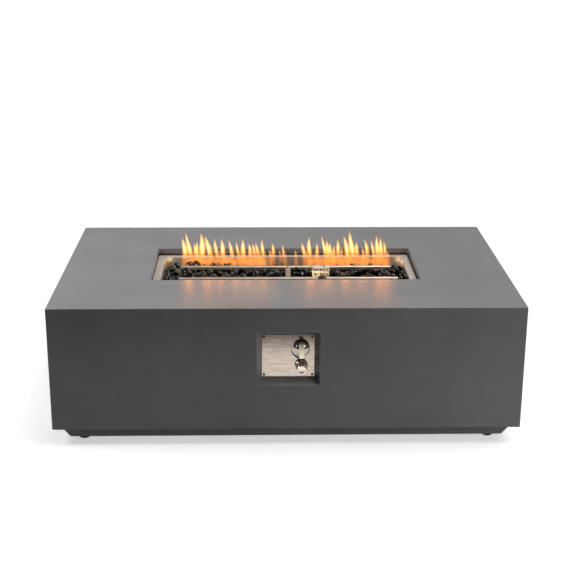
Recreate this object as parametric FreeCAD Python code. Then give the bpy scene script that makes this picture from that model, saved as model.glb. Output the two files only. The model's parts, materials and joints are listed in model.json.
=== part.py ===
import FreeCAD, Part
import math
import os
import random

# Concrete gas fire pit table. Millimetres, +Z up, front towards -Y, origin on the floor under the middle.

# Concrete shell
table_width = 1270.0
table_depth = 787.0
wall_height = 347.0
wall_thickness = 26.0
slab_thickness = 45.0
edge_round = 2.5

# Inset plinth under the walls
plinth_height = 39.0
plinth_ledge = 20.0
plinth_slope = 21.0
plinth_cove = 9.0
plinth_round = 4.0
plinth_ring_width = 44.0
plinth_ring_height = 46.0
haunch_height = 50.0

# Feet, their screws and the anchors cast in the plinth
foot_radius = 15.5
foot_height = 8.0
foot_chamfer = 1.2
foot_inset_x = 78.0
foot_inset_y = 62.0
foot_cup_gap = 1.5
foot_cup_depth = 5.0
foot_screw_radius = 3.0
foot_screw_length = 20.0
foot_screw_head_radius = 6.0
foot_screw_head_height = 3.6
anchor_wall = 1.9
anchor_length = 22.0
screw_clearance = 0.3
thread_clearance = 0.05

# Fire opening in the top, with a shadow gap over the ledge that carries the pan
opening_length = 762.0
opening_width = 305.0
opening_corner = 4.0
opening_lip = 15.0
shadow_gap_reach = 8.0
pan_drop = 20.0
pan_edge_gap = 3.0
pan_well_gap = 6.0
gasket_thickness = 2.0
gasket_width = 11.0
gasket_inset = 1.5

# Burner pan
pan_sheet = 1.5
pan_flange_width = 19.0
pan_depth = 52.0
pan_corner = 8.0
pan_lip_round = 1.0
drain_hole_radius = 4.0
drain_hole_inset = 30.0

# Burner: two long tubes joined by a cross tube, with room left in the pan at each end
burner_left_gap = 51.5
burner_right_gap = 31.5
burner_spacing = 110.0
burner_tube_radius = 9.5
burner_tube_wall = 1.2
burner_cross_radius = 8.8
burner_drop = 34.0
burner_cap_thickness = 2.0
port_radius = 1.3
port_pitch = 16.0
port_end_gap = 12.0
nipple_radius = 8.6
nipple_bore = 6.5
nipple_reach = 30.0
nipple_nut_flats = 26.0
nipple_nut_height = 6.0

# Burner supports
support_end_gap = 46.0
support_width = 18.0
support_sheet = 2.0
support_foot_length = 16.0
support_cradle_depth = 5.0
support_gap = 0.1

# Small pan screws, shared by supports, guard and bracket
pan_screw_radius = 2.0
pan_screw_length = 8.0
pan_screw_head_radius = 3.8
pan_screw_head_height = 2.4

# Air mixer and orifice fitting under the burner
mixer_radius = 13.0
mixer_length = 62.0
mixer_grip = 14.0
mixer_bore = 10.5
mixer_window_width = 9.0
mixer_window_height = 20.0
mixer_floor = 12.0
orifice_radius = 5.0
orifice_bore = 0.9
orifice_hex_flats = 19.0
orifice_hex_height = 8.0

# Flare fittings and flexible gas lines
flare_radius = 7.94
flare_length = 14.0
flare_bore = 4.5
flare_nut_flats = 21.0
flare_nut_tail = 6.0
flare_nut_clearance = 0.06
hose_radius = 5.5
hose_nut_clearance = 0.15

# Igniter guard between the burner tubes
guard_offset = 72.0
guard_width = 49.0
guard_front = -8.0
guard_depth = 30.0
guard_drop = 13.0
guard_sheet = 1.0
guard_hole_radius = 3.0
guard_hole_columns = 5
guard_hole_pitch = 8.7
guard_row_pitch = 12.2
guard_first_row = 5.6
guard_foot_length = 9.0

# Bracket, spark electrode and thermocouple inside the guard
bracket_sheet = 1.5
bracket_width = 30.0
bracket_setback = 12.0
bracket_tab_length = 10.0
bracket_shelf_drop = 26.0
electrode_offset = -7.0
electrode_radius = 1.2
electrode_tip = 7.0
electrode_tail = 8.0
ceramic_radius = 3.5
ceramic_length = 24.0
thermocouple_offset = 7.0
thermocouple_radius = 3.0
thermocouple_length = 34.0
bracket_hole_gap = 0.2

# Fire stones
stone_pitch = 34.0
stone_wall_gap = 1.0
stone_height_low = 27.0
stone_height_high = 36.0
stone_under_gap = 2.5
stone_clearance = 1.0
stone_seed = 11

# Panel recess and control panel in the front wall
panel_x = 2.5
panel_drop = 145.0
panel_width = 141.0
panel_height = 122.0
panel_sheet = 1.5
panel_corner = 1.5
panel_gap = 0.5
panel_top_gap = 2.5
panel_seat = 13.0
panel_screw_inset = 5.5
panel_groove_inset = 3.0
panel_groove_width = 0.8
panel_groove_depth = 0.3
recess_depth = 33.0
recess_splay = 13.5
recess_back = 20.0
recess_frame = 14.0
small_screw_radius = 2.0
small_screw_length = 12.0
small_screw_head_radius = 3.6
small_screw_head_height = 1.8
small_anchor_length = 14.0

# Gas valve
knob_side = 35.5
knob_rise = 21.5
valve_width = 46.0
valve_height = 48.0
valve_depth = 40.0
valve_side_offset = 3.0
valve_port_offset = 15.0
valve_port_spread = 27.0
valve_port_depth = 24.0
valve_port_bore = 4.0
probe_port_offset = 12.0
probe_port_radius = 4.0
probe_port_length = 6.0
bonnet_radius = 9.0
bonnet_nut_flats = 24.0
bonnet_nut_height = 4.0
bonnet_reach = 1.5
bonnet_hole_gap = 0.2
bonnet_lip = 3.0
chamber_radius = 6.6
chamber_length = 17.0
stem_radius = 4.0
stem_fit = 0.05
stem_flat = 2.8
stem_shoulder_radius = 5.2
stem_shoulder = 2.0
stem_tail = 12.0
seat_radius = 6.3
seat_thickness = 1.5
seat_gap = 0.1
spring_wire = 0.5
spring_turns = 5
knob_travel = 4.0

# Gas knob
knob_radius = 21.5
knob_skirt_height = 4.0
knob_dome_height = 6.0
knob_front_gap = 1.0
knob_panel_gap = 1.5
knob_bar_width = 16.0
knob_bar_length = 41.0
knob_bar_round = 2.0
knob_nut_gap = 3.0
knob_hollow_gap = 2.5
knob_bore_depth = 12.0

# Push-button igniter
igniter_fall = 31.4
igniter_tube_radius = 11.0
igniter_tube_reach = 14.0
igniter_flange_thickness = 1.5
igniter_bezel_radius = 18.5
igniter_bezel_height = 9.0
igniter_bezel_wall = 2.5
igniter_nut_flats = 28.0
igniter_nut_height = 5.0
igniter_hole_gap = 0.2
igniter_end_wall = 3.0
igniter_tab_length = 8.0
igniter_tab_radius = 1.6
igniter_tab_spread = 7.0
button_radius = 13.5
button_tube_gap = 0.5
button_wall = 1.6
button_round = 2.0
button_front_gap = 1.0
button_travel = 5.0
button_stop_gap = 0.8
button_bezel_gap = 0.5
battery_radius = 7.25
battery_length = 50.0
battery_nub_radius = 2.7
battery_nub_length = 1.3
battery_setback = 8.0
battery_gap = 0.35
button_spring_wire = 0.5
button_spring_radius = 5.0
button_spring_turns = 6

# Gas inlet at the back
inlet_x = -180.0
inlet_height = 130.0
inlet_plate_size = 66.0
inlet_plate_sheet = 2.0
inlet_recess_depth = 31.0
inlet_recess_splay = 10.0
inlet_recess_back = 16.0
inlet_recess_frame = 14.0
inlet_seat = 13.0
inlet_flange_flats = 24.0
inlet_flange_height = 5.0
inlet_thread_length = 12.0
inlet_nut_height = 6.0

# Leads
lead_radius = 1.6
probe_lead_radius = 1.2
lead_hole_radius = 3.0

# Levels and planes worked out from the sizes above
plinth_z = foot_height
foot_cup_radius = foot_screw_head_radius + foot_cup_gap
wall_z = plinth_z + plinth_height
top_z = wall_z + wall_height
slab_z = top_z - slab_thickness
front_y = -table_depth / 2
back_y = table_depth / 2
flange_top_z = top_z - pan_drop
ledge_z = flange_top_z - pan_sheet - gasket_thickness
pan_floor_z = flange_top_z - pan_depth
pan_under_z = pan_floor_z - pan_sheet
burner_z = top_z - burner_drop
flange_length = opening_length - 2 * pan_edge_gap
flange_width = opening_width - 2 * pan_edge_gap
well_length = flange_length - 2 * pan_flange_width
well_width = flange_width - 2 * pan_flange_width
ledge_length = well_length + 2 * pan_well_gap
ledge_width = well_width + 2 * pan_well_gap
burner_length = well_length - burner_left_gap - burner_right_gap
burner_offset = (burner_left_gap - burner_right_gap) / 2
burner_half = burner_spacing / 2
guard_top_z = top_z - guard_drop
guard_left = burner_offset + guard_offset
guard_x = guard_left + guard_width / 2
guard_right = guard_left + guard_width
guard_back = guard_front + guard_depth
guard_hole_rows = int((guard_top_z - pan_floor_z - 2 * guard_first_row) / guard_row_pitch) + 1
bracket_y = guard_front + bracket_setback
shelf_z = guard_top_z - bracket_shelf_drop
panel_z = top_z - panel_drop
seat_y = front_y + recess_depth
plate_y = seat_y - panel_sheet
plate_z = panel_z - panel_top_gap / 2
plate_height = panel_height - panel_top_gap
knob_x = panel_x + knob_side
knob_z = panel_z + knob_rise
igniter_z = panel_z - igniter_fall
nut_y = plate_y - bonnet_nut_height
bonnet_y = nut_y - bonnet_reach
chamber_y = bonnet_y + bonnet_lip
chamber_end_y = chamber_y + chamber_length
shoulder_y = chamber_y + seat_gap
stem_seat_y = shoulder_y + stem_shoulder + seat_gap
valve_back_y = seat_y + valve_depth
valve_x = knob_x - valve_side_offset
valve_port_x = knob_x - valve_port_offset
gas_out_z = knob_z + valve_port_spread / 2
gas_in_z = knob_z - valve_port_spread / 2
knob_back_y = plate_y - knob_travel - knob_panel_gap
knob_front_y = front_y + knob_front_gap
knob_hollow_y = bonnet_y - knob_travel - knob_hollow_gap
knob_hollow_radius = bonnet_nut_flats / math.sqrt(3) + knob_nut_gap
stem_front_y = knob_hollow_y - knob_bore_depth
button_back_y = plate_y - igniter_flange_thickness - button_travel - button_stop_gap
button_front_y = front_y + button_front_gap
button_bore = igniter_tube_radius + button_tube_gap
igniter_flange_radius = igniter_bezel_radius - igniter_bezel_wall
igniter_tube_bore = battery_radius + battery_gap
battery_y = plate_y - battery_setback
igniter_end_y = battery_y + battery_length + igniter_end_wall
inlet_seat_y = back_y - inlet_recess_depth
inlet_plate_y = inlet_seat_y + inlet_plate_sheet
nipple_end_z = pan_under_z - nipple_reach
mixer_top_z = nipple_end_z + mixer_grip
mixer_end_z = mixer_top_z - mixer_length
orifice_shoulder_z = mixer_end_z - orifice_hex_height

along_x = FreeCAD.Vector(1, 0, 0)
along_y = FreeCAD.Vector(0, 1, 0)
along_z = FreeCAD.Vector(0, 0, 1)
left_and_right = (-1, 1)


def vec(x, y, z):
    return FreeCAD.Vector(x, y, z)


def block(x_range, y_range, z_range):
    low = vec(x_range[0], y_range[0], z_range[0])
    return Part.makeBox(x_range[1] - low.x, y_range[1] - low.y, z_range[1] - low.z, low)


def middle(centre, size):
    return (centre - size / 2, centre + size / 2)


def rod(start, axis, radius, length):
    return Part.makeCylinder(radius, length, start, axis)


def pipe(start, axis, radius, bore, length):
    return rod(start, axis, radius, length).cut(rod(start, axis, bore, length))


def placed(shape, start, axis):
    turn = FreeCAD.Rotation(along_z, axis)
    moved = shape.copy()
    moved.Placement = FreeCAD.Placement(start, turn)
    return moved


def turned(profile, start, axis):
    """A solid of revolution from points given as radius and height along the axis."""
    points = [vec(radius, 0, height) for radius, height in profile]
    face = Part.Face(Part.makePolygon(points + [points[0]]))
    return placed(face.revolve(vec(0, 0, 0), along_z, 360), start, axis)


def hexagon(start, axis, flats, height):
    corner = flats / math.sqrt(3)
    points = [vec(corner * math.cos(a), corner * math.sin(a), 0)
              for a in (math.radians(60 * step) for step in range(7))]
    face = Part.Face(Part.makePolygon(points))
    return placed(face.extrude(vec(0, 0, height)), start, axis)


def hex_nut(start, axis, flats, height, bore):
    return hexagon(start, axis, flats, height).cut(rod(start, axis, bore, height))


def screw(under_head, axis, head_radius, head_height, shank_radius, shank_length):
    """A round-headed screw with a cross slot. The axis points along the shank."""
    crown = head_radius * 0.7
    profile = [(0, -head_height), (crown, -head_height), (head_radius, -head_height / 2), (head_radius, 0),
               (shank_radius, 0), (shank_radius, shank_length), (0, shank_length)]
    body = turned(profile, vec(0, 0, 0), along_z)
    slot_depth = head_height / 2
    slot_low = (-head_height, -head_height + slot_depth)
    for length, width in ((crown * 1.4, crown * 0.35), (crown * 0.35, crown * 1.4)):
        body = body.cut(block(middle(0, length), middle(0, width), slot_low))
    return placed(body, under_head, axis)


def edges_along(shape, axis):
    """The straight edges of a shape that run parallel to an axis."""
    chosen = []
    for edge in shape.Edges:
        if isinstance(edge.Curve, Part.Line):
            if abs(abs(edge.Curve.Direction.dot(axis)) - 1) < 1e-6:
                chosen.append(edge)
    return chosen


def edges_at(shape, z):
    """The edges of a shape that lie flat at one height."""
    return [edge for edge in shape.Edges
            if abs(edge.BoundBox.ZMin - z) < 1e-6 and abs(edge.BoundBox.ZMax - z) < 1e-6]


def rounded_block(x_range, y_range, z_range, axis, radius):
    body = block(x_range, y_range, z_range)
    return body.makeFillet(radius, edges_along(body, axis))


def rectangle(length, width, z):
    x = length / 2
    y = width / 2
    points = [vec(-x, -y, z), vec(x, -y, z), vec(x, y, z), vec(-x, y, z), vec(-x, -y, z)]
    return Part.makePolygon(points)


def taper(low_length, low_width, low_z, high_length, high_width, high_z):
    low = rectangle(low_length, low_width, low_z)
    high = rectangle(high_length, high_width, high_z)
    return Part.makeLoft([low, high], True, True)


def splayed_pocket(centre, mouth_y, inward, depth, width, height, splay):
    """A pocket that narrows by the splay on every side from its mouth to its seat."""
    past = 1.0
    grow = splay / depth * past
    mouth = taper(width, height, 0, width + 2 * (splay + grow), height + 2 * (splay + grow), depth + past)
    start = vec(centre[0], mouth_y + inward * depth, centre[1])
    turn = FreeCAD.Rotation(along_x, 90 if inward > 0 else -90)
    mouth.Placement = FreeCAD.Placement(start, turn)
    return mouth


def coil(start, axis, radius, wire, length, turns):
    path = Part.makeHelix((length - 2 * wire) / turns, length - 2 * wire, radius)
    section = Part.Wire(Part.Circle(vec(radius, 0, 0), along_y, wire).toShape())
    body = Part.Wire(path.Edges).makePipeShell([section], True, False)
    return placed(body, start + axis * wire, axis)


def cord(points, radius):
    """A tube of straight runs joined by arcs that just touch them."""
    edges = []
    radii = []
    start = points[0]
    for before, corner, after in zip(points, points[1:], points[2:]):
        back = (before - corner).normalize()
        ahead = (after - corner).normalize()
        half_turn = (math.pi - back.getAngle(ahead)) / 2
        leg = 0.45 * min((before - corner).Length, (after - corner).Length)
        arc_radius = leg / math.tan(half_turn)
        inward = (back + ahead).normalize()
        arc_middle = corner + inward * (arc_radius / math.cos(half_turn) - arc_radius)
        edges.append(Part.LineSegment(start, corner + back * leg).toShape())
        edges.append(Part.Arc(corner + back * leg, arc_middle, corner + ahead * leg).toShape())
        start = corner + ahead * leg
        radii.append(arc_radius)
    edges.append(Part.LineSegment(start, points[-1]).toShape())
    path = Part.Wire(edges)
    section = Part.Wire(Part.Circle(points[0], points[1] - points[0], radius).toShape())
    tube = path.makePipeShell([section], True, False)
    share = tube.Volume / (math.pi * radius ** 2 * path.Length)
    print("cord radii", [round(value) for value in radii])
    print("cord length", round(path.Length), "volume share", round(share, 3))
    return tube


def corners(x, y):
    return [(side_x * x, side_y * y) for side_x in left_and_right for side_y in left_and_right]


def foot_places():
    return corners(table_width / 2 - foot_inset_x, table_depth / 2 - foot_inset_y)


def panel_screw_places():
    x = panel_width / 2 - panel_screw_inset
    z = plate_height / 2 - panel_screw_inset
    return [(panel_x + side_x, plate_z + side_z) for side_x, side_z in corners(x, z)]


def inlet_screw_places():
    reach = inlet_plate_size / 2 - inlet_seat / 2
    return [(inlet_x + side_x, inlet_height + side_z) for side_x, side_z in corners(reach, reach)]


def support_places():
    reach = burner_length / 2 - support_end_gap
    return [(burner_offset + side_x, side_y) for side_x, side_y in corners(reach, burner_half)]


def guard_foot_places():
    reach = guard_width / 2 + guard_foot_length / 2
    return [(guard_x + side * reach, guard_front + guard_depth / 2) for side in left_and_right]


def drain_places():
    return corners(well_length / 2 - drain_hole_inset, well_width / 2 - drain_hole_inset)


# Concrete shell


def shell_outside():
    walls = block(middle(0, table_width), middle(0, table_depth), (wall_z, top_z))
    walls = walls.makeFillet(edge_round, walls.Edges)
    low_length = table_width - 2 * (plinth_ledge + plinth_slope)
    low_width = table_depth - 2 * (plinth_ledge + plinth_slope)
    high_length = table_width - 2 * plinth_ledge
    high_width = table_depth - 2 * plinth_ledge
    plinth = taper(low_length, low_width, plinth_z, high_length, high_width, wall_z)
    slanted = [edge for edge in plinth.Edges if edge.BoundBox.ZLength > 1]
    plinth = plinth.makeFillet(plinth_round, slanted)
    plinth = plinth.makeFillet(plinth_round, edges_at(plinth, plinth_z))
    body = walls.fuse(plinth)
    inside_x = table_width / 2 - plinth_ledge / 2
    inside_y = table_depth / 2 - plinth_ledge / 2
    junction = []
    for edge in edges_at(body, wall_z):
        box = edge.BoundBox
        if max(-box.XMin, box.XMax) < inside_x and max(-box.YMin, box.YMax) < inside_y:
            junction.append(edge)
    return body.makeFillet(plinth_cove, junction)


def shell_hollow():
    ring_inset = plinth_ledge + plinth_slope + plinth_ring_width
    ring_length = table_width - 2 * ring_inset
    ring_width = table_depth - 2 * ring_inset
    inner_length = table_width - 2 * wall_thickness
    inner_width = table_depth - 2 * wall_thickness
    ring_z = plinth_z + plinth_ring_height
    haunch_z = ring_z + haunch_height
    mouth = block(middle(0, ring_length), middle(0, ring_width), (plinth_z - 1, ring_z))
    haunch = taper(ring_length, ring_width, ring_z, inner_length, inner_width, haunch_z)
    room = block(middle(0, inner_length), middle(0, inner_width), (haunch_z, slab_z))
    return mouth.fuse([haunch, room])


def recess_boss(centre, seat, back, half_width, half_height, frame, inward):
    """Concrete that thickens the wall behind and around a recess."""
    wall_inner_y = -inward * (table_depth / 2 - wall_thickness)
    y_range = sorted((wall_inner_y - inward, seat + inward * back))
    x_range = (centre[0] - half_width - frame, centre[0] + half_width + frame)
    z_range = (centre[1] - half_height - frame, centre[1] + half_height + frame)
    return block(x_range, y_range, z_range)


def table_shell():
    body = shell_outside().cut(shell_hollow())
    panel_half = (panel_width / 2 + recess_splay, panel_height / 2 + recess_splay)
    inlet_half = inlet_plate_size / 2 + inlet_recess_splay
    body = body.fuse([
        recess_boss((panel_x, panel_z), seat_y, recess_back, *panel_half, recess_frame, 1),
        recess_boss((inlet_x, inlet_height), inlet_seat_y, inlet_recess_back, inlet_half, inlet_half,
                    inlet_recess_frame, -1)])

    mouth = rounded_block(middle(0, opening_length), middle(0, opening_width), (ledge_z, top_z + 1),
                          along_z, opening_corner)
    gap = rounded_block(middle(0, opening_length + 2 * shadow_gap_reach),
                        middle(0, opening_width + 2 * shadow_gap_reach),
                        (ledge_z, top_z - opening_lip), along_z, opening_corner)
    throat = rounded_block(middle(0, ledge_length), middle(0, ledge_width), (slab_z - 1, ledge_z + 1),
                           along_z, opening_corner)
    body = body.cut(mouth.fuse(gap).fuse(throat))
    rim = [edge for edge in edges_at(body, top_z)
           if abs(edge.BoundBox.Center.x) <= opening_length / 2
           and abs(edge.BoundBox.Center.y) <= opening_width / 2]
    body = body.makeFillet(edge_round, rim)

    pocket_width = panel_width + 2 * panel_gap
    pocket_height = panel_height + 2 * panel_gap
    pocket = splayed_pocket((panel_x, panel_z), front_y, 1, recess_depth, pocket_width, pocket_height,
                            recess_splay)
    window = block(middle(panel_x, panel_width - 2 * panel_seat), (seat_y - 1, seat_y + recess_back + 1),
                   middle(panel_z, panel_height - 2 * panel_seat))
    inlet_size = inlet_plate_size + 2 * panel_gap
    inlet_pocket = splayed_pocket((inlet_x, inlet_height), back_y, -1, inlet_recess_depth, inlet_size,
                                  inlet_size, inlet_recess_splay)
    inlet_window_size = inlet_plate_size - 2 * inlet_seat
    inlet_window = block(middle(inlet_x, inlet_window_size),
                         (inlet_seat_y - inlet_recess_back - 1, inlet_seat_y + 1),
                         middle(inlet_height, inlet_window_size))
    body = body.cut([pocket, window, inlet_pocket, inlet_window])

    holes = []
    for x, y in foot_places():
        holes.append(rod(vec(x, y, plinth_z), along_z, foot_screw_radius + anchor_wall, anchor_length))
    for x, z in panel_screw_places():
        holes.append(rod(vec(x, seat_y, z), along_y, small_screw_radius + anchor_wall, small_anchor_length))
    for x, z in inlet_screw_places():
        holes.append(rod(vec(x, inlet_seat_y, z), -along_y, small_screw_radius + anchor_wall,
                         small_anchor_length))
    return body.cut(holes)


# Feet


def feet():
    pads = []
    for x, y in foot_places():
        outline = [(0, 0), (foot_radius - foot_chamfer, 0), (foot_radius, foot_chamfer),
                   (foot_radius, foot_height), (0, foot_height)]
        pad = turned(outline, vec(x, y, 0), along_z)
        pad = pad.cut(rod(vec(x, y, 0), along_z, foot_cup_radius, foot_cup_depth))
        pads.append(pad.cut(rod(vec(x, y, 0), along_z, foot_screw_radius + screw_clearance, foot_height)))
    return pads


def foot_screws():
    return [screw(vec(x, y, foot_cup_depth), along_z, foot_screw_head_radius, foot_screw_head_height,
                  foot_screw_radius, foot_screw_length) for x, y in foot_places()]


def foot_anchors():
    return [pipe(vec(x, y, plinth_z), along_z, foot_screw_radius + anchor_wall,
                 foot_screw_radius + thread_clearance, anchor_length) for x, y in foot_places()]


# Burner pan and its gasket


def pan_gasket():
    length = ledge_length + 2 * gasket_inset
    width = ledge_width + 2 * gasket_inset
    z_range = (ledge_z, ledge_z + gasket_thickness)
    outer = block(middle(0, length + 2 * gasket_width), middle(0, width + 2 * gasket_width), z_range)
    return outer.cut(block(middle(0, length), middle(0, width), z_range))


def burner_pan():
    flange = rounded_block(middle(0, flange_length), middle(0, flange_width),
                           (flange_top_z - pan_sheet, flange_top_z), along_z, opening_corner)
    well = rounded_block(middle(0, well_length), middle(0, well_width), (pan_under_z, flange_top_z),
                         along_z, pan_corner)
    inside = rounded_block(middle(0, well_length - 2 * pan_sheet), middle(0, well_width - 2 * pan_sheet),
                           (pan_floor_z, flange_top_z + 1), along_z, pan_corner - pan_sheet)
    body = flange.fuse(well).cut(inside)
    lip = [edge for edge in edges_at(body, flange_top_z)
           if max(edge.BoundBox.XMax, -edge.BoundBox.XMin) < well_length / 2
           and max(edge.BoundBox.YMax, -edge.BoundBox.YMin) < well_width / 2]
    body = body.makeFillet(pan_lip_round, lip)
    holes = [rod(vec(burner_offset, 0, pan_under_z), along_z, nipple_radius + screw_clearance, pan_sheet)]
    for x, y in drain_places():
        holes.append(rod(vec(x, y, pan_under_z), along_z, drain_hole_radius, pan_sheet))
    screw_places = [support_screw_place(x, y) for x, y in support_places()] + guard_foot_places()
    screw_places.append((guard_x, bracket_y + bracket_tab_length / 2 + bracket_sheet))
    for x, y in screw_places:
        holes.append(rod(vec(x, y, pan_under_z), along_z, pan_screw_radius + thread_clearance, pan_sheet))
    for offset in (electrode_offset, thermocouple_offset):
        holes.append(rod(vec(guard_x + offset, bracket_shelf_y(), pan_under_z), along_z, lead_hole_radius,
                         pan_sheet))
    return body.cut(holes)


# Burner


def burner_tube(side):
    y = side * burner_half
    length = burner_length - 2 * burner_cap_thickness
    start = vec(burner_offset - length / 2, y, burner_z)
    bore = burner_tube_radius - burner_tube_wall
    tube = pipe(start, along_x, burner_tube_radius, bore, length)
    inlet = rod(vec(burner_offset, 0, burner_z), vec(0, side, 0), burner_cross_radius - burner_tube_wall,
                burner_half)
    ports = []
    reach = burner_length / 2 - port_end_gap
    count = int(2 * reach / port_pitch)
    for step in range(count + 1):
        x = burner_offset + (step - count / 2) * port_pitch
        ports.append(rod(vec(x, y, burner_z), along_z, port_radius, 2 * burner_tube_radius))
    return tube.cut([inlet] + ports)


def burner_cross_tube():
    bore = burner_cross_radius - burner_tube_wall
    start = vec(burner_offset, -burner_half, burner_z)
    tube = pipe(start, along_y, burner_cross_radius, bore, burner_spacing)
    long_tubes = [rod(vec(burner_offset - burner_half, side * burner_half, burner_z), along_x,
                      burner_tube_radius, burner_spacing) for side in left_and_right]
    inlet = rod(vec(burner_offset, 0, burner_z - burner_cross_radius), along_z, nipple_bore,
                burner_cross_radius)
    return tube.cut(long_tubes + [inlet])


def burner_end_caps():
    reach = burner_length / 2
    starts = [(burner_offset - reach, 1), (burner_offset + reach, -1)]
    return [rod(vec(x, side * burner_half, burner_z), vec(inward, 0, 0), burner_tube_radius,
                burner_cap_thickness) for x, inward in starts for side in left_and_right]


def burner_inlet_nipple():
    start = vec(burner_offset, 0, nipple_end_z)
    length = burner_z - nipple_end_z
    body = pipe(start, along_z, nipple_radius, nipple_bore, length)
    cross = rod(vec(burner_offset, -burner_half, burner_z), along_y, burner_cross_radius, burner_spacing)
    return body.cut(cross)


def burner_lock_nuts():
    bore = nipple_radius + thread_clearance
    levels = (pan_floor_z, pan_under_z - nipple_nut_height)
    return [hex_nut(vec(burner_offset, 0, z), along_z, nipple_nut_flats, nipple_nut_height, bore)
            for z in levels]


def support_screw_place(x, y):
    inward = -math.copysign(1, x - burner_offset)
    return (x + inward * support_foot_length / 2, y)


def burner_supports():
    bodies = []
    for x, y in support_places():
        inward = -math.copysign(1, x - burner_offset)
        outer_x = x - inward * support_sheet
        top = burner_z - burner_tube_radius + support_cradle_depth
        upright = block(sorted((outer_x, x)), middle(y, support_width), (pan_floor_z, top))
        foot = block(sorted((x, x + inward * support_foot_length)), middle(y, support_width),
                     (pan_floor_z, pan_floor_z + support_sheet))
        tube = rod(vec(x - support_foot_length, y, burner_z), along_x, burner_tube_radius + support_gap,
                   2 * support_foot_length)
        screw_x, screw_y = support_screw_place(x, y)
        hole = rod(vec(screw_x, screw_y, pan_floor_z), along_z, pan_screw_radius + screw_clearance,
                   support_sheet)
        bodies.append(upright.fuse(foot).cut([tube, hole]))
    return bodies


def burner_support_screws():
    places = [support_screw_place(x, y) for x, y in support_places()]
    return [screw(vec(x, y, pan_floor_z + support_sheet), -along_z, pan_screw_head_radius,
                  pan_screw_head_height, pan_screw_radius, pan_screw_length) for x, y in places]


def air_mixer():
    start = vec(burner_offset, 0, mixer_end_z)
    body = rod(start, along_z, mixer_radius, mixer_length)
    grip = rod(vec(burner_offset, 0, nipple_end_z), along_z, nipple_radius + thread_clearance, mixer_grip)
    throat_z = mixer_end_z + mixer_floor
    throat = rod(vec(burner_offset, 0, throat_z), along_z, mixer_bore,
                 nipple_end_z - throat_z - mixer_bore + nipple_bore)
    neck = rod(vec(burner_offset, 0, throat_z), along_z, nipple_bore, nipple_end_z - throat_z)
    socket = rod(start, along_z, orifice_radius + thread_clearance, mixer_floor)
    window_z = throat_z + (nipple_end_z - throat_z - mixer_bore + nipple_bore - mixer_window_height) / 2
    windows = [block(middle(burner_offset, 4 * mixer_radius), middle(0, mixer_window_width),
                     (window_z, window_z + mixer_window_height)),
               block(middle(burner_offset, mixer_window_width), middle(0, 4 * mixer_radius),
                     (window_z, window_z + mixer_window_height))]
    return body.cut([grip, throat, neck, socket] + windows)


def orifice_fitting():
    spud = rod(vec(burner_offset, 0, mixer_end_z), along_z, orifice_radius, mixer_floor)
    flats = hexagon(vec(burner_offset, 0, orifice_shoulder_z), along_z, orifice_hex_flats, orifice_hex_height)
    male = rod(vec(burner_offset, 0, orifice_shoulder_z), -along_z, flare_radius, flare_length)
    way = rod(vec(burner_offset, 0, orifice_shoulder_z - flare_length), along_z, flare_bore,
              flare_length + orifice_hex_height)
    jet = rod(vec(burner_offset, 0, mixer_end_z), along_z, orifice_bore, mixer_floor)
    return spud.fuse([flats, male]).cut([way, jet])


# Flare nuts and flexible gas lines


def flare_nut(shoulder, axis):
    """A hex nut over a flare fitting, with a tail that holds the hose's end."""
    gap = 1.0
    start = shoulder + axis * gap
    length = flare_length - gap + flare_nut_tail
    body = hexagon(start, axis, flare_nut_flats, length)
    thread = rod(start, axis, flare_radius + flare_nut_clearance, flare_length - gap)
    tail = rod(start, axis, hose_radius + hose_nut_clearance, length)
    return body.cut([thread, tail])


def route(start, end, after_start, before_end):
    """A cord's points: its ends, and the bends near each, in shares of the distance between the ends."""
    reach = (end - start).Length
    bends = [start + vec(*share) * reach for share in after_start]
    return [start] + bends + [end + vec(*share) * reach for share in before_end] + [end]


def burner_hose_route():
    start = vec(valve_port_x, valve_back_y + flare_length, gas_out_z)
    end = vec(burner_offset, 0, orifice_shoulder_z - flare_length)
    return route(start, end,
                 [(0, 0.16, 0), (-0.006, 0.313, -0.064), (-0.016, 0.441, -0.172),
                  (-0.029, 0.543, -0.313), (-0.038, 0.664, -0.428)],
                 [(0, -0.14, -0.306), (0, 0, -0.198)])


def inlet_hose_route():
    start = vec(inlet_x, inlet_seat_y - inlet_thread_length - flare_length, inlet_height)
    end = vec(valve_port_x, valve_back_y + flare_length, gas_in_z)
    return route(start, end,
                 [(0, -0.08, 0), (0.009, -0.16, -0.015), (0.032, -0.242, -0.032),
                  (0.067, -0.318, -0.038), (0.111, -0.388, -0.029), (0.154, -0.458, -0.009),
                  (0.195, -0.528, 0.023), (0.233, -0.595, 0.067)],
                 [(-0.035, 0.207, -0.05), (-0.007, 0.14, -0.015), (0, 0.073, 0)])


def burner_hose():
    return cord(burner_hose_route(), hose_radius)


def burner_hose_nuts():
    return [flare_nut(vec(valve_port_x, valve_back_y, gas_out_z), along_y),
            flare_nut(vec(burner_offset, 0, orifice_shoulder_z), -along_z)]


def inlet_hose():
    return cord(inlet_hose_route(), hose_radius)


def inlet_hose_nuts():
    return [flare_nut(vec(valve_port_x, valve_back_y, gas_in_z), along_y),
            flare_nut(vec(inlet_x, inlet_seat_y - inlet_thread_length, inlet_height), -along_y)]


# Igniter guard and what it shields


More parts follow.
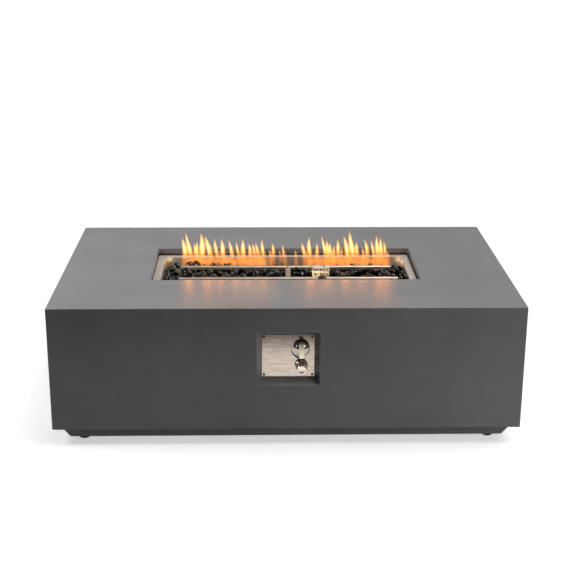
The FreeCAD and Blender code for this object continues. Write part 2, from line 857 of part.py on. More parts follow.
def igniter_guard():
    outer = block((guard_left, guard_right), (guard_front, guard_back), (pan_floor_z, guard_top_z))
    inner = block((guard_left + guard_sheet, guard_right - guard_sheet),
                  (guard_front + guard_sheet, guard_back - guard_sheet),
                  (pan_floor_z - 1, guard_top_z - guard_sheet))
    body = outer.cut(inner)
    for x, y in guard_foot_places():
        foot = block(middle(x, guard_foot_length), middle(y, guard_foot_length),
                     (pan_floor_z, pan_floor_z + guard_sheet))
        hole = rod(vec(x, y, pan_floor_z), along_z, pan_screw_radius + screw_clearance, guard_sheet)
        body = body.fuse(foot).cut(hole)
    holes = []
    for row in range(guard_hole_rows):
        z = guard_top_z - guard_first_row - row * guard_row_pitch
        for column in range(guard_hole_columns):
            x = guard_x + (column - (guard_hole_columns - 1) / 2) * guard_hole_pitch
            holes.append(rod(vec(x, guard_front - 1, z), along_y, guard_hole_radius, guard_depth + 2))
    holes.append(rod(top_screw_place(), along_z, pan_screw_radius + screw_clearance, guard_sheet))
    return body.cut(holes)


def top_screw_place():
    return vec(guard_x + bracket_width / 2 - bracket_tab_length / 2,
               bracket_y + bracket_sheet + bracket_tab_length / 2, guard_top_z - guard_sheet)


def bracket_shelf_y():
    return bracket_y - bracket_tab_length / 2


def igniter_bracket():
    """An upright plate with a foot, a shelf that holds electrode and thermocouple, and a top tab."""
    x_range = middle(guard_x, bracket_width)
    z_top = guard_top_z - guard_sheet
    tab_x = (x_range[1] - bracket_tab_length, x_range[1])
    back_y_range = (bracket_y, bracket_y + bracket_sheet + bracket_tab_length)
    upright = block(x_range, (bracket_y, bracket_y + bracket_sheet), (pan_floor_z, z_top))
    foot = block(x_range, back_y_range, (pan_floor_z, pan_floor_z + bracket_sheet))
    tab = block(tab_x, back_y_range, (z_top - bracket_sheet, z_top))
    shelf = block(x_range, (bracket_y - bracket_tab_length, bracket_y), (shelf_z, shelf_z + bracket_sheet))
    body = upright.fuse([foot, tab, shelf])
    foot_hole = rod(vec(guard_x, bracket_y + bracket_sheet + bracket_tab_length / 2, pan_floor_z), along_z,
                    pan_screw_radius + screw_clearance, bracket_sheet)
    top_hole = rod(top_screw_place() - along_z * bracket_sheet, along_z,
                   pan_screw_radius + thread_clearance, bracket_sheet)
    ceramic_hole = rod(vec(guard_x + electrode_offset, bracket_shelf_y(), shelf_z), along_z,
                       ceramic_radius + bracket_hole_gap, bracket_sheet)
    probe_hole = rod(vec(guard_x + thermocouple_offset, bracket_shelf_y(), shelf_z), along_z,
                     thermocouple_radius + bracket_hole_gap, bracket_sheet)
    return body.cut([foot_hole, top_hole, ceramic_hole, probe_hole])


def ceramic_start():
    z = shelf_z + bracket_sheet * 2 - ceramic_length / 2
    return vec(guard_x + electrode_offset, bracket_shelf_y(), z)


def thermocouple_start():
    z = shelf_z + bracket_sheet * 2 - thermocouple_length / 2
    return vec(guard_x + thermocouple_offset, bracket_shelf_y(), z)


def electrode_ceramic():
    return pipe(ceramic_start(), along_z, ceramic_radius, electrode_radius + thread_clearance, ceramic_length)


def spark_electrode():
    start = ceramic_start() - along_z * electrode_tail
    return rod(start, along_z, electrode_radius, ceramic_length + electrode_tail + electrode_tip)


def thermocouple_tip():
    start = thermocouple_start()
    rounding = thermocouple_radius * 0.5
    profile = [(0, 0), (thermocouple_radius, 0), (thermocouple_radius, thermocouple_length - rounding),
               (rounding, thermocouple_length), (0, thermocouple_length)]
    return turned(profile, start, along_z)


def igniter_guard_screws():
    seats = [vec(x, y, pan_floor_z + guard_sheet) for x, y in guard_foot_places()]
    seats.append(vec(guard_x, bracket_y + bracket_sheet + bracket_tab_length / 2,
                     pan_floor_z + bracket_sheet))
    seats.append(top_screw_place() + along_z * guard_sheet)
    return [screw(seat, -along_z, pan_screw_head_radius, pan_screw_head_height, pan_screw_radius,
                  pan_screw_length) for seat in seats]


# Fire stones


def pebble(centre, radii, spin, tilt):
    """A stone with flat facets: two staggered rings of points between a bottom and a top point."""
    facets = 7
    rings = []
    for height, stagger in ((-0.4, 0.0), (0.4, 0.5)):
        ring = []
        for step in range(facets):
            angle = math.radians(360 / facets * (step + stagger))
            ring.append(vec(math.cos(angle), math.sin(angle), height))
        rings.append(ring)
    low, high = rings
    bottom = vec(0, 0, -1)
    top = vec(0, 0, 1)
    triangles = []
    for step in range(facets):
        after = (step + 1) % facets
        triangles.append((bottom, low[after], low[step]))
        triangles.append((low[step], low[after], high[step]))
        triangles.append((high[step], low[after], high[after]))
        triangles.append((high[step], high[after], top))
    turn = FreeCAD.Rotation(along_z, spin).multiply(FreeCAD.Rotation(along_x, tilt))
    faces = []
    for triangle in triangles:
        points = []
        for corner in triangle:
            stretched = vec(corner.x * radii[0], corner.y * radii[1], corner.z * radii[2])
            points.append(centre + turn.multVec(stretched))
        faces.append(Part.Face(Part.makePolygon(points + [points[0]])))
    return Part.Solid(Part.Shell(faces))


def stone_keep_outs():
    """What a stone may not stand in, as x and y ranges, and what it has to stay under."""
    closed = [(middle(burner_offset, nipple_nut_flats * 1.2), middle(0, nipple_nut_flats * 1.2)),
              ((guard_left - guard_foot_length, guard_right + guard_foot_length),
               (guard_front, guard_back))]
    for x, y in support_places():
        inward = -math.copysign(1, x - burner_offset)
        x_range = sorted((x - inward * support_sheet, x + inward * support_foot_length))
        closed.append((x_range, middle(y, support_width)))
    under = [(middle(burner_offset, burner_length), middle(side * burner_half, 2 * burner_tube_radius))
             for side in left_and_right]
    under.append((middle(burner_offset, 2 * burner_tube_radius), middle(0, burner_spacing)))
    return closed, under


def reaches(x, y, radius, area):
    (x_low, x_high), (y_low, y_high) = area
    gap_x = max(x_low - x, x - x_high, 0)
    gap_y = max(y_low - y, y - y_high, 0)
    return math.hypot(gap_x, gap_y) < radius


def fire_stones():
    dice = random.Random(stone_seed)
    closed, under = stone_keep_outs()
    radius = stone_pitch / 2
    under_height = burner_z - burner_tube_radius - pan_floor_z - stone_under_gap
    usable_length = well_length - 2 * (pan_sheet + stone_wall_gap + radius)
    usable_width = well_width - 2 * (pan_sheet + stone_wall_gap + radius)
    rows = int(usable_width / (stone_pitch * math.sqrt(0.75))) + 1
    columns = int(usable_length / stone_pitch)
    stones = []
    for row in range(rows):
        y = -usable_width / 2 + usable_width * row / (rows - 1)
        in_row = columns + 1 if row % 2 == 0 else columns
        for column in range(in_row):
            x = (column - (in_row - 1) / 2) * usable_length / columns
            spread = (dice.uniform(0.86, 0.97), dice.uniform(0.74, 0.97))
            height = dice.uniform(stone_height_low, stone_height_high)
            spin = dice.uniform(0, 360)
            tilt = dice.uniform(-8, 8)
            if any(reaches(x, y, radius + stone_clearance, area) for area in closed):
                continue
            if any(reaches(x, y, radius + stone_clearance, area) for area in under):
                height = min(height, under_height)
            radii = (radius * spread[0], radius * spread[1], height / 2)
            stone = pebble(vec(x, y, 0), radii, spin, tilt)
            stone.translate(vec(0, 0, pan_floor_z - stone.BoundBox.ZMin))
            stones.append(stone)
    return stones


# Control panel


def panel_holes(start_y, length):
    return [rod(vec(knob_x, start_y, knob_z), along_y, bonnet_radius + bonnet_hole_gap, length),
            rod(vec(knob_x, start_y, igniter_z), along_y, igniter_tube_radius + igniter_hole_gap, length)]


def control_panel():
    plate = rounded_block(middle(panel_x, panel_width), (plate_y, seat_y), middle(plate_z, plate_height),
                          along_y, panel_corner)
    groove_y = (plate_y - 1, plate_y + panel_groove_depth)
    outer_inset = 2 * panel_groove_inset
    inner_inset = outer_inset + 2 * panel_groove_width
    groove = block(middle(panel_x, panel_width - outer_inset), groove_y,
                   middle(plate_z, plate_height - outer_inset))
    groove = groove.cut(block(middle(panel_x, panel_width - inner_inset), groove_y,
                              middle(plate_z, plate_height - inner_inset)))
    holes = panel_holes(plate_y, panel_sheet)
    for x, z in panel_screw_places():
        holes.append(rod(vec(x, plate_y, z), along_y, small_screw_radius + screw_clearance, panel_sheet))
    return plate.cut([groove] + holes)


def panel_screws():
    return [screw(vec(x, plate_y, z), along_y, small_screw_head_radius, small_screw_head_height,
                  small_screw_radius, small_screw_length) for x, z in panel_screw_places()]


def panel_anchors():
    return [pipe(vec(x, seat_y, z), along_y, small_screw_radius + anchor_wall,
                 small_screw_radius + thread_clearance, small_anchor_length) for x, z in panel_screw_places()]


# Gas valve and knob


def gas_valve_body():
    body = block(middle(valve_x, valve_width), (seat_y, valve_back_y), middle(knob_z, valve_height))
    axis_start = vec(knob_x, bonnet_y, knob_z)
    body = body.fuse(rod(axis_start, along_y, bonnet_radius, seat_y - bonnet_y))
    ports = []
    for z in (gas_out_z, gas_in_z):
        body = body.fuse(rod(vec(valve_port_x, valve_back_y, z), along_y, flare_radius, flare_length))
        ports.append(rod(vec(valve_port_x, valve_back_y - valve_port_depth, z), along_y, valve_port_bore,
                         valve_port_depth + flare_length))
    probe_x = knob_x + probe_port_offset
    body = body.fuse(rod(vec(probe_x, valve_back_y, knob_z), along_y, probe_port_radius, probe_port_length))
    stem_way = rod(axis_start, along_y, stem_radius + stem_fit,
                   chamber_end_y - bonnet_y + stem_tail + knob_travel + 1)
    chamber = rod(vec(knob_x, chamber_y, knob_z), along_y, chamber_radius, chamber_length)
    return body.cut([stem_way, chamber] + ports)


def valve_lock_nut():
    return hex_nut(vec(knob_x, nut_y, knob_z), along_y, bonnet_nut_flats, bonnet_nut_height,
                   bonnet_radius + thread_clearance)


def valve_spring_seat():
    start = vec(knob_x, stem_seat_y, knob_z)
    return pipe(start, along_y, seat_radius, stem_radius + stem_fit, seat_thickness)


def valve_return_spring():
    start = stem_seat_y + seat_thickness
    radius = (stem_radius + chamber_radius) / 2
    return coil(vec(knob_x, start, knob_z), along_y, radius, spring_wire, chamber_end_y - start, spring_turns)


def flat_cut(radius, flat, start_y, end_y):
    """What a flat takes off a round shaft or leaves in a round bore."""
    return block(middle(knob_x, 3 * radius), (start_y, end_y), (knob_z + flat, knob_z + 2 * radius))


def valve_stem():
    body = rod(vec(knob_x, stem_front_y, knob_z), along_y, stem_radius,
               chamber_end_y + stem_tail - stem_front_y)
    body = body.fuse(rod(vec(knob_x, shoulder_y, knob_z), along_y, stem_shoulder_radius, stem_shoulder))
    return body.cut(flat_cut(stem_radius, stem_flat, stem_front_y, knob_hollow_y))


def control_knob():
    height = knob_skirt_height + knob_dome_height
    dome = [(0, 0), (knob_radius, 0), (knob_radius, knob_skirt_height),
            (knob_radius * 0.93, knob_skirt_height + knob_dome_height * 0.42),
            (knob_radius * 0.75, knob_skirt_height + knob_dome_height * 0.78), (knob_radius * 0.5, height),
            (0, height)]
    body = turned(dome, vec(knob_x, knob_back_y, knob_z), -along_y)
    bar = block(middle(knob_x, knob_bar_width), (knob_front_y, knob_back_y - knob_skirt_height),
                middle(knob_z, knob_bar_length))
    bar = bar.makeFillet(knob_bar_round, edges_along(bar, along_y))
    front_edges = [edge for edge in bar.Edges if abs(edge.BoundBox.YMax - knob_front_y) < 1e-6]
    bar = bar.makeFillet(knob_bar_round * 0.7, front_edges)
    hollow = rod(vec(knob_x, knob_hollow_y, knob_z), along_y, knob_hollow_radius,
                 knob_back_y - knob_hollow_y)
    bore_radius = stem_radius + stem_fit
    bore = rod(vec(knob_x, stem_front_y, knob_z), along_y, bore_radius, knob_bore_depth)
    bore = bore.cut(flat_cut(bore_radius, stem_flat + stem_fit, stem_front_y, knob_hollow_y))
    return body.fuse(bar).cut([hollow, bore])


# Push-button igniter


def igniter_housing():
    front_y_tube = plate_y - igniter_flange_thickness - igniter_tube_reach
    start = vec(knob_x, front_y_tube, igniter_z)
    body = rod(start, along_y, igniter_tube_radius, igniter_end_y - front_y_tube)
    flange = rod(vec(knob_x, plate_y - igniter_flange_thickness, igniter_z), along_y, igniter_flange_radius,
                 igniter_flange_thickness)
    hollow = rod(start, along_y, igniter_tube_bore, battery_y + battery_length - front_y_tube)
    tabs = [rod(vec(knob_x + side * igniter_tab_spread / 2, igniter_end_y, igniter_z), along_y,
                igniter_tab_radius, igniter_tab_length) for side in left_and_right]
    return body.fuse([flange] + tabs).cut(hollow)


def igniter_lock_nut():
    return hex_nut(vec(knob_x, seat_y, igniter_z), along_y, igniter_nut_flats, igniter_nut_height,
                   igniter_tube_radius + thread_clearance)


def igniter_bezel():
    inner = button_radius + button_bezel_gap
    outer = igniter_bezel_radius
    span = outer - inner
    height = igniter_bezel_height
    dome = [(inner, 0), (outer, 0), (outer, height * 0.3), (inner + span * 0.86, height * 0.62),
            (inner + span * 0.56, height * 0.88), (inner + span * 0.2, height), (inner, height)]
    body = turned(dome, vec(knob_x, plate_y, igniter_z), -along_y)
    seat = rod(vec(knob_x, plate_y, igniter_z), -along_y, igniter_flange_radius + thread_clearance,
               igniter_flange_thickness)
    return body.cut(seat)


def igniter_button():
    length = button_back_y - button_front_y
    profile = [(0, length), (0, length - button_wall), (button_bore, length - button_wall), (button_bore, 0),
               (button_radius, 0), (button_radius, length - button_round),
               (button_radius - button_round * 0.3, length - button_round * 0.3),
               (button_radius - button_round, length)]
    return turned(profile, vec(knob_x, button_back_y, igniter_z), -along_y)


def igniter_spring():
    start = button_front_y + button_wall
    end = battery_y + battery_nub_length
    return coil(vec(knob_x, start, igniter_z), along_y, button_spring_radius, button_spring_wire,
                end - start, button_spring_turns)


def igniter_battery():
    cell = rod(vec(knob_x, battery_y + battery_nub_length, igniter_z), along_y, battery_radius,
               battery_length - battery_nub_length)
    return cell.fuse(rod(vec(knob_x, battery_y, igniter_z), along_y, battery_nub_radius, battery_nub_length))


# Leads from the panel to the electrode and the thermocouple


def ignition_wire():
    start = vec(knob_x + igniter_tab_spread / 2, igniter_end_y + igniter_tab_length, igniter_z)
    end = ceramic_start() - along_z * electrode_tail
    points = route(start, end,
                   [(0, 0.089, 0), (0.015, 0.185, -0.024), (0.039, 0.286, -0.039),
                    (0.063, 0.393, -0.018), (0.083, 0.494, 0.036), (0.098, 0.584, 0.119)],
                   [(0, -0.101, -0.197), (0, 0, -0.125)])
    return cord(points, lead_radius)


def thermocouple_lead():
    start = vec(knob_x + probe_port_offset, valve_back_y + probe_port_length, knob_z)
    end = thermocouple_start()
    points = route(start, end,
                   [(0, 0.11, 0), (0.018, 0.226, -0.037), (0.049, 0.348, -0.067),
                    (0.085, 0.47, -0.061), (0.122, 0.592, -0.024)],
                   [(0, -0.14, -0.195), (0, 0, -0.122)])
    return cord(points, probe_lead_radius)


# Gas inlet at the back


def gas_inlet_plate():
    plate = rounded_block(middle(inlet_x, inlet_plate_size), (inlet_seat_y, inlet_plate_y),
                          middle(inlet_height, inlet_plate_size), along_y, panel_corner)
    holes = [rod(vec(inlet_x, inlet_seat_y, inlet_height), along_y, flare_radius + screw_clearance,
                 inlet_plate_sheet)]
    for x, z in inlet_screw_places():
        holes.append(rod(vec(x, inlet_seat_y, z), along_y, small_screw_radius + screw_clearance,
                         inlet_plate_sheet))
    return plate.cut(holes)


def gas_inlet_screws():
    return [screw(vec(x, inlet_plate_y, z), -along_y, small_screw_head_radius, small_screw_head_height,
                  small_screw_radius, small_screw_length) for x, z in inlet_screw_places()]


def gas_inlet_anchors():
    return [pipe(vec(x, inlet_seat_y, z), -along_y, small_screw_radius + anchor_wall,
                 small_screw_radius + thread_clearance, small_anchor_length) for x, z in inlet_screw_places()]


def gas_inlet_fitting():
    start = vec(inlet_x, inlet_plate_y, inlet_height)
    flats = hexagon(start, along_y, inlet_flange_flats, inlet_flange_height)
    inner_length = inlet_plate_sheet + inlet_thread_length + flare_length
    outer_length = inlet_flange_height + flare_length
    inner = rod(start, -along_y, flare_radius, inner_length)
    outer = rod(start, along_y, flare_radius, outer_length)
    way = rod(start - along_y * inner_length, along_y, flare_bore, inner_length + outer_length)
    return flats.fuse([inner, outer]).cut(way)


def gas_inlet_nut():
    return hex_nut(vec(inlet_x, inlet_seat_y, inlet_height), -along_y, inlet_flange_flats, inlet_nut_height,
                   flare_radius + flare_nut_clearance)


nodes = {
    "table_shell": table_shell,
    "feet": feet,
    "foot_screws": foot_screws,
    "foot_anchors": foot_anchors,
    "pan_gasket": pan_gasket,
    "burner_pan": burner_pan,
    "burner_tube_rear": lambda: burner_tube(1),
    "burner_tube_front": lambda: burner_tube(-1),
    "burner_cross_tube": burner_cross_tube,
    "burner_end_caps": burner_end_caps,
    "burner_inlet_nipple": burner_inlet_nipple,
    "burner_lock_nuts": burner_lock_nuts,
    "burner_supports": burner_supports,
    "burner_support_screws": burner_support_screws,
    "air_mixer": air_mixer,
    "orifice_fitting": orifice_fitting,
    "burner_hose": burner_hose,
    "burner_hose_nuts": burner_hose_nuts,
    "inlet_hose": inlet_hose,
    "inlet_hose_nuts": inlet_hose_nuts,
    "igniter_guard": igniter_guard,
    "igniter_guard_screws": igniter_guard_screws,
    "igniter_bracket": igniter_bracket,
    "electrode_ceramic": electrode_ceramic,
    "spark_electrode": spark_electrode,
    "thermocouple_tip": thermocouple_tip,
    "fire_stones": fire_stones,
    "control_panel": control_panel,
    "panel_screws": panel_screws,
    "panel_anchors": panel_anchors,
    "gas_valve_body": gas_valve_body,
    "valve_lock_nut": valve_lock_nut,
    "valve_spring_seat": valve_spring_seat,
    "valve_return_spring": valve_return_spring,
    "valve_stem": valve_stem,
    "control_knob": control_knob,
    "igniter_housing": igniter_housing,
    "igniter_lock_nut": igniter_lock_nut,
    "igniter_bezel": igniter_bezel,
    "igniter_button": igniter_button,
    "igniter_spring": igniter_spring,
    "igniter_battery": igniter_battery,
    "ignition_wire": ignition_wire,
    "thermocouple_lead": thermocouple_lead,
    "gas_inlet_plate": gas_inlet_plate,
    "gas_inlet_screws": gas_inlet_screws,
    "gas_inlet_anchors": gas_inlet_anchors,
    "gas_inlet_fitting": gas_inlet_fitting,
    "gas_inlet_nut": gas_inlet_nut,
}

os.makedirs("parts", exist_ok=True)
for name, make in nodes.items():
    made = make()
    solids = made if isinstance(made, list) else [made]
    shape = solids[0] if len(solids) == 1 else Part.makeCompound(solids)
    print(name, "solids", len(shape.Solids), "valid", shape.isValid(), "volume", round(shape.Volume))
    shape.exportStep("parts/" + name + ".step")
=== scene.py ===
import json
import math

import bmesh
import bpy
import numpy as np
from mathutils import Matrix, Vector


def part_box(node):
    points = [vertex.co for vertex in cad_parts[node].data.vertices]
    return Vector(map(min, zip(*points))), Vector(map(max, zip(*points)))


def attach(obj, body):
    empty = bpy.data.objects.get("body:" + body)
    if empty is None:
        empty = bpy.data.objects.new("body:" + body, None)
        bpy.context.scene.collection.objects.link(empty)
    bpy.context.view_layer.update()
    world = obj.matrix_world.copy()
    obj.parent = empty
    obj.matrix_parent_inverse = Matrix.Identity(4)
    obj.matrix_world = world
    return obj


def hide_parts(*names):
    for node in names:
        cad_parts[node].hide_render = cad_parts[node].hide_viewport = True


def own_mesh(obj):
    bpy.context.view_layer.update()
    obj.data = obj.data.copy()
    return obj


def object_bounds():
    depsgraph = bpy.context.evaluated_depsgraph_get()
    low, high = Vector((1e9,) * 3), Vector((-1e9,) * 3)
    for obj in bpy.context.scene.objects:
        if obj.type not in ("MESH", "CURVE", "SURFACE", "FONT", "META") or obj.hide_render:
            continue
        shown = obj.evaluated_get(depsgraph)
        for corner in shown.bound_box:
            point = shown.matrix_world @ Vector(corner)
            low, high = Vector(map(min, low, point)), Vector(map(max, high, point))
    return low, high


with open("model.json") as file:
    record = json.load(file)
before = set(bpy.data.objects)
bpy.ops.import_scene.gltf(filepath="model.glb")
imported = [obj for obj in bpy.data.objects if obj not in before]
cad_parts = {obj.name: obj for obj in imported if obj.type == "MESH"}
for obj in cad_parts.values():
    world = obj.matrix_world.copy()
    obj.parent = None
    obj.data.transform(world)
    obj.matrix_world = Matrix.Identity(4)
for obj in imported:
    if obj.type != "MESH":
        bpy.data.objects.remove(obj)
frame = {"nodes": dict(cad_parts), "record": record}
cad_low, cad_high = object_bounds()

# Concrete gas fire pit table. Metres, +Z up, front towards -Y, origin on the floor under the middle.

mm = 0.001
nodes = frame["nodes"]
table_top_z = cad_high.z

# Camera, at the place that the table's edges give in the photograph's 576 by 576 frame
frame_px = 576
focal_px = 1197.7
sensor_width_mm = 36.0
camera_place = Vector((-0.0749, -3.3511, 1.4449))
camera_yaw = math.radians(1.458)
camera_pitch = math.radians(18.59)
camera_roll = math.radians(0.274)

# Pan and igniter guard
pan_flange_width = 19 * mm
pan_sheet = 1.5 * mm
pan_floor_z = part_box("fire_stones")[0].z
# How far in from the guard's outer faces the painted shade on its inner faces begins
guard_inner_shade_from = 0.6 * mm

# Stones in the pan
stone_radius_low = 8.5 * mm
stone_radius_high = 15.5 * mm
stone_spacing = 0.8
stone_seed = 9
pebble_thinnest = (0.8, 0.6, 0.45)
pebble_fullest = (1.35, 1.0, 0.8)
pebble_tilt = 1.1
pebble_lump_size = 13 * mm
pebble_lump_height = 8 * mm

# Pouring the stones: their fall in each step, and how firmly they push off each other and off the steel
pour_steps = 140
pour_fall = 1.9 * mm
pour_fall_share = 0.8
pour_heights = (0.02, 0.19)
push_share = 0.3
tube_gap_share = 0.85
floor_gap_share = 0.8
guard_front_clear = 40 * mm
guard_step_aside = 0.03
tiny = 1e-9
# The heaps that show over the rear tube: how many stones, and from where to where along the pan
stone_heaps = ((10, -0.30, -0.27), (7, -0.24, -0.225), (10, -0.208, -0.185), (7, -0.155, -0.145),
               (7, -0.095, -0.083), (6, -0.04, -0.03), (6, 0.005, 0.015), (7, 0.073, 0.088),
               (7, 0.127, 0.142), (7, 0.187, 0.202), (9, 0.25, 0.275), (6, 0.30, 0.33))
heap_across = (0.068, 0.078)
# How many stones are poured over each part of the pan, by its place along and across the pan
stone_pours = (
    (69, (-0.335, -0.315), (-0.10, 0.08)),
    (58, (0.332, 0.345), (-0.10, 0.08)),
    (86, (-0.33, 0.33), (0.06, 0.12)),
    *((count, (start, end), heap_across) for count, start, end in stone_heaps),
    (374, (-0.31, 0.32), (-0.05, 0.05)),
    (20, (0.13, 0.27), (-0.035, 0.035)),
    (160, (-0.35, 0.35), (-0.13, -0.06)),
)

# Knob
knob_skirt = 4 * mm
knob_dome = 6 * mm
knob_edge = 0.6 * mm
knob_bar_width = 14.4 * mm
knob_bar_length = 41 * mm
knob_bar_round = 2 * mm
knob_bar_back = 1 * mm
knob_hollow_radius = 16.86 * mm
knob_hollow_depth = 6.5 * mm
stem_radius = 4.05 * mm
stem_reach = 18.5 * mm
stem_overcut = 1 * mm

# Igniter
bezel_bore = 14 * mm
bezel_rise = 1.6
bezel_flange_inset = 2.5 * mm
bezel_flange_depth = 1.5 * mm
button_round = 2.2 * mm
button_bore = 11.5 * mm
button_wall = 1.6 * mm
button_dish = 1.25 * mm
# The rings turned in the button's face: how far each lies in from the rim and behind the face
button_rings = ((3.4 * mm, 0), (4.2 * mm, 0.7 * mm), (5.2 * mm, 0.9 * mm))
button_middle_share = 0.3
button_middle_depth = 1.2 * mm

# Flame-size mark printed on the panel round the knob
mark_radius = 26.8 * mm
mark_start = math.radians(120)
mark_end = math.radians(258)
mark_full_width = 5.0 * mm
mark_line_width = 0.9 * mm
mark_line_from = 0.35
mark_swell_from = 0.56
mark_thickness = 0.15 * mm
mark_steps = 60

# Flames: the place along the burner and the height over the table's top of each tongue
flame_places_mm = (
    (-303, 62), (-294, 79), (-272, 46), (-263, 51), (-250, 77), (-235, 68), (-210, 59), (-190, 59),
    (-164, 55), (-144, 50), (-126, 59), (-106, 44), (-93, 44), (-84, 46), (-67, 58), (-45, 24),
    (-36, 46), (-13, 24), (-4, 40), (32, 24), (55, 45), (75, 64), (97, 45), (113, 68), (130, 55),
    (138, 46), (150, 35), (160, 56), (172, 29), (181, 68), (190, 24), (197, 84), (216, 48), (234, 30),
    (243, 56), (263, 56), (279, 70), (288, 62), (298, 52), (311, 18),
)
flame_seed = 8
flame_width = 20 * mm
flame_lean = 0.13
flame_behind_tube = 48 * mm
flame_foot_drop = 14 * mm
flame_tip_fade = 6 * mm
# The camera looks down by 1 in 3, so a tongue further back needs to be lower for the same tip
sight_run = 3
flame_groups = 4
flame_lean_spread = (0.3, 1.3)
flame_width_spread = (0.8, 1.15)
flame_stray_mm = 3
# A tongue is wider the taller it is: by its height over this length, and by this much at no height
flame_widening_mm = 200
flame_width_base = 0.75
# Orange reaches up to the first height over the table's top, and pale yellow starts at the second
flame_orange_to = -12 * mm
flame_yellow_from = 14 * mm
# Streaks in the low curtains: how far apart along the burner, across it and up
flame_streak_mm = (11.765, 1000, 125)
# A tongue's outline: its points, how full it is, and how its axis leans and sways on the way up
tongue_rings = 14
tongue_sides = 10
tongue_fullness = 1.55
tongue_foot = 0.2
tongue_swell = 0.35
tongue_taper = 0.8
tongue_depth_share = 2 / 2.2
tongue_lean_power = 1.4
tongue_sway = 0.09
tongue_sway_turn = 6
tongue_sway_phase = 90

# Low curtains of flame between the tongues: where each lit stretch of the burner starts and ends
flame_curtains_mm = ((-301, -46), (68, 320))
haze_behind_tube = 62 * mm
haze_foot_drop = 24 * mm
haze_half_depth = 8 * mm
haze_step_mm = 4
haze_height_mm = 30
haze_waves_mm = ((5, 7.3), (3, 2.9))
haze_end_mm = 2
haze_fade_mm = 14
haze_sides = 10

# Where the flames' light on other surfaces comes from along the burner, and each one's share
flame_glows = ((-0.285, 1.2), (-0.23, 1.1), (-0.19, 0.8), (-0.145, 0.95), (-0.105, 0.8), (-0.065, 0.8),
               (-0.03, 0.3), (0.035, 0.25), (0.08, 1.1), (0.13, 1.0), (0.185, 1.2), (0.235, 1.1),
               (0.285, 1.5), (0.31, 1.1))
front_glow_power = 0.0013
front_glow_spread = math.radians(28)
front_glow_width = 16 * mm
front_glow_height = 50 * mm
front_glow_up = 60 * mm
front_glow_forward = 4 * mm
front_glow_aim_drop = 0.19
low_glow_power = 0.01
low_glow_radius = 12 * mm
low_glow_up = 8 * mm
low_glow_back = 3 * mm

# Studio lamps. The overhead light is weaker in gloss, so that bright steel doesn't clip to white
overhead_powers = (("overhead_light", 2.65), ("overhead_gloss", 2.4))
overhead_from = (0.45, 0.15, 0.82)
overhead_angle = math.radians(60)
# Small lamps that only show as highlights in polished metal and wet-looking stones
sparkle_aim = (0.0, -0.36, 0.26)
sparkle_lamps = (("left_sparkle", (-1.1, -2.0, 0.42), 0.16, 0.5),
                 ("right_sparkle", (1.0, -2.1, 0.42), 0.2, 1.0),
                 ("side_sparkle", (-1.85, -1.15, 1.7), 0.7, 24.0),
                 ("far_sparkle", (1.3, -1.15, 1.8), 0.3, 1.5))
corner_glints = (("left_glint", (-0.346, 0.116, 0.364)), ("right_glint", (0.351, 0.116, 0.362)))
glint_power = 0.004
glint_radius = 6 * mm
guard_lamp_place = (0.2, -1.6, 1.1)
guard_lamp_size = 0.1
guard_lamp_power = 0.08
guard_lamp_spread = math.radians(5)
guard_lamp_below_top = 10 * mm

# Floor and backdrop
floor_reach = 60
floor_lift = 0.54
floor_shade = "#484849"
floor_white = "#dadada"
# In gloss the pale floor ends about 0.7 m in front of the table, over this stretch
sheet_fade_y = (-1.11, -1.05)
sheet_end_gloss = 0.03
# How bright the backdrop and the ceiling are in gloss, and how bright the room is as light
backdrop_gloss = 0.42
ceiling_gloss = 0.06
room_fill = 0.04


# Small helpers


def linear(hex_colour):
    """An sRGB hex colour as linear red, green, blue and alpha."""
    channels = [int(hex_colour[i:i + 2], 16) / 255 for i in (1, 3, 5)]
    return [c / 12.92 if c <= 0.04045 else ((c + 0.055) / 1.055) ** 2.4 for c in channels] + [1.0]


def add(tree, kind, inputs=None, stops=(), **settings):
    """Adds a node with its settings and links. The stops of a colour ramp are places and colours."""
    made = tree.nodes.new(kind)
    for number, (position, colour) in enumerate(stops):
        made.color_ramp.elements[number].position = position
        made.color_ramp.elements[number].color = linear(colour)
    for name, value in settings.items():
        setattr(made, name, value)
    for key, value in (inputs or {}).items():
        if isinstance(value, bpy.types.NodeSocket):
            tree.links.new(value, made.inputs[key])
        else:
            made.inputs[key].default_value = value
    return made


def scene_object(name, data):
    """A new object in the scene with its mesh, lamp or camera."""
    made = bpy.data.objects.new(name, data)
    bpy.context.scene.collection.objects.link(made)
    return made


def shape_object(name, shape):
    """A bmesh as an object in the scene."""
    mesh = bpy.data.meshes.new(name)
    shape.to_mesh(mesh)
    shape.free()
    return scene_object(name, mesh)


def join_rings(shape, rings):
    """Adds faces from each ring of points to the next. A ring of one point closes a tip."""
    for first, second in zip(rings, rings[1:]):
        around = max(len(first), len(second))
        for step in range(around):
            after = (step + 1) % around
            corners = [first[step % len(first)], first[after % len(first)],
                       second[after % len(second)], second[step % len(second)]]
            shape.faces.new(list(dict.fromkeys(corners)))


def applied(made):
    """The object's mesh with its modifiers applied, in a new object of the same name."""
    graph = bpy.context.evaluated_depsgraph_get()
    mesh = bpy.data.meshes.new_from_object(made.evaluated_get(graph))
    name = made.name
    bpy.data.objects.remove(made)
    mesh.name = name
    return scene_object(name, mesh)


def smooth(made, sharp_degrees=35):
    """Smooth shading with edges that stay sharp past an angle."""
    made.data.shade_smooth()
    made.data.set_sharp_from_angle(angle=math.radians(sharp_degrees))
    return made


def dress(made, material, body):
    """Gives a finished piece its material and the body that it rides on."""
    made.data.materials.clear()
    made.data.materials.append(material)
    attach(made, body)


def turned_size(node):
    """The middle of a turned piece's back, its radius and its length, from its box."""
    low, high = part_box(node)
    middle = Vector(((low.x + high.x) / 2, high.y, (low.z + high.z) / 2))
    return middle, (high.x - low.x) / 2, high.y - low.y


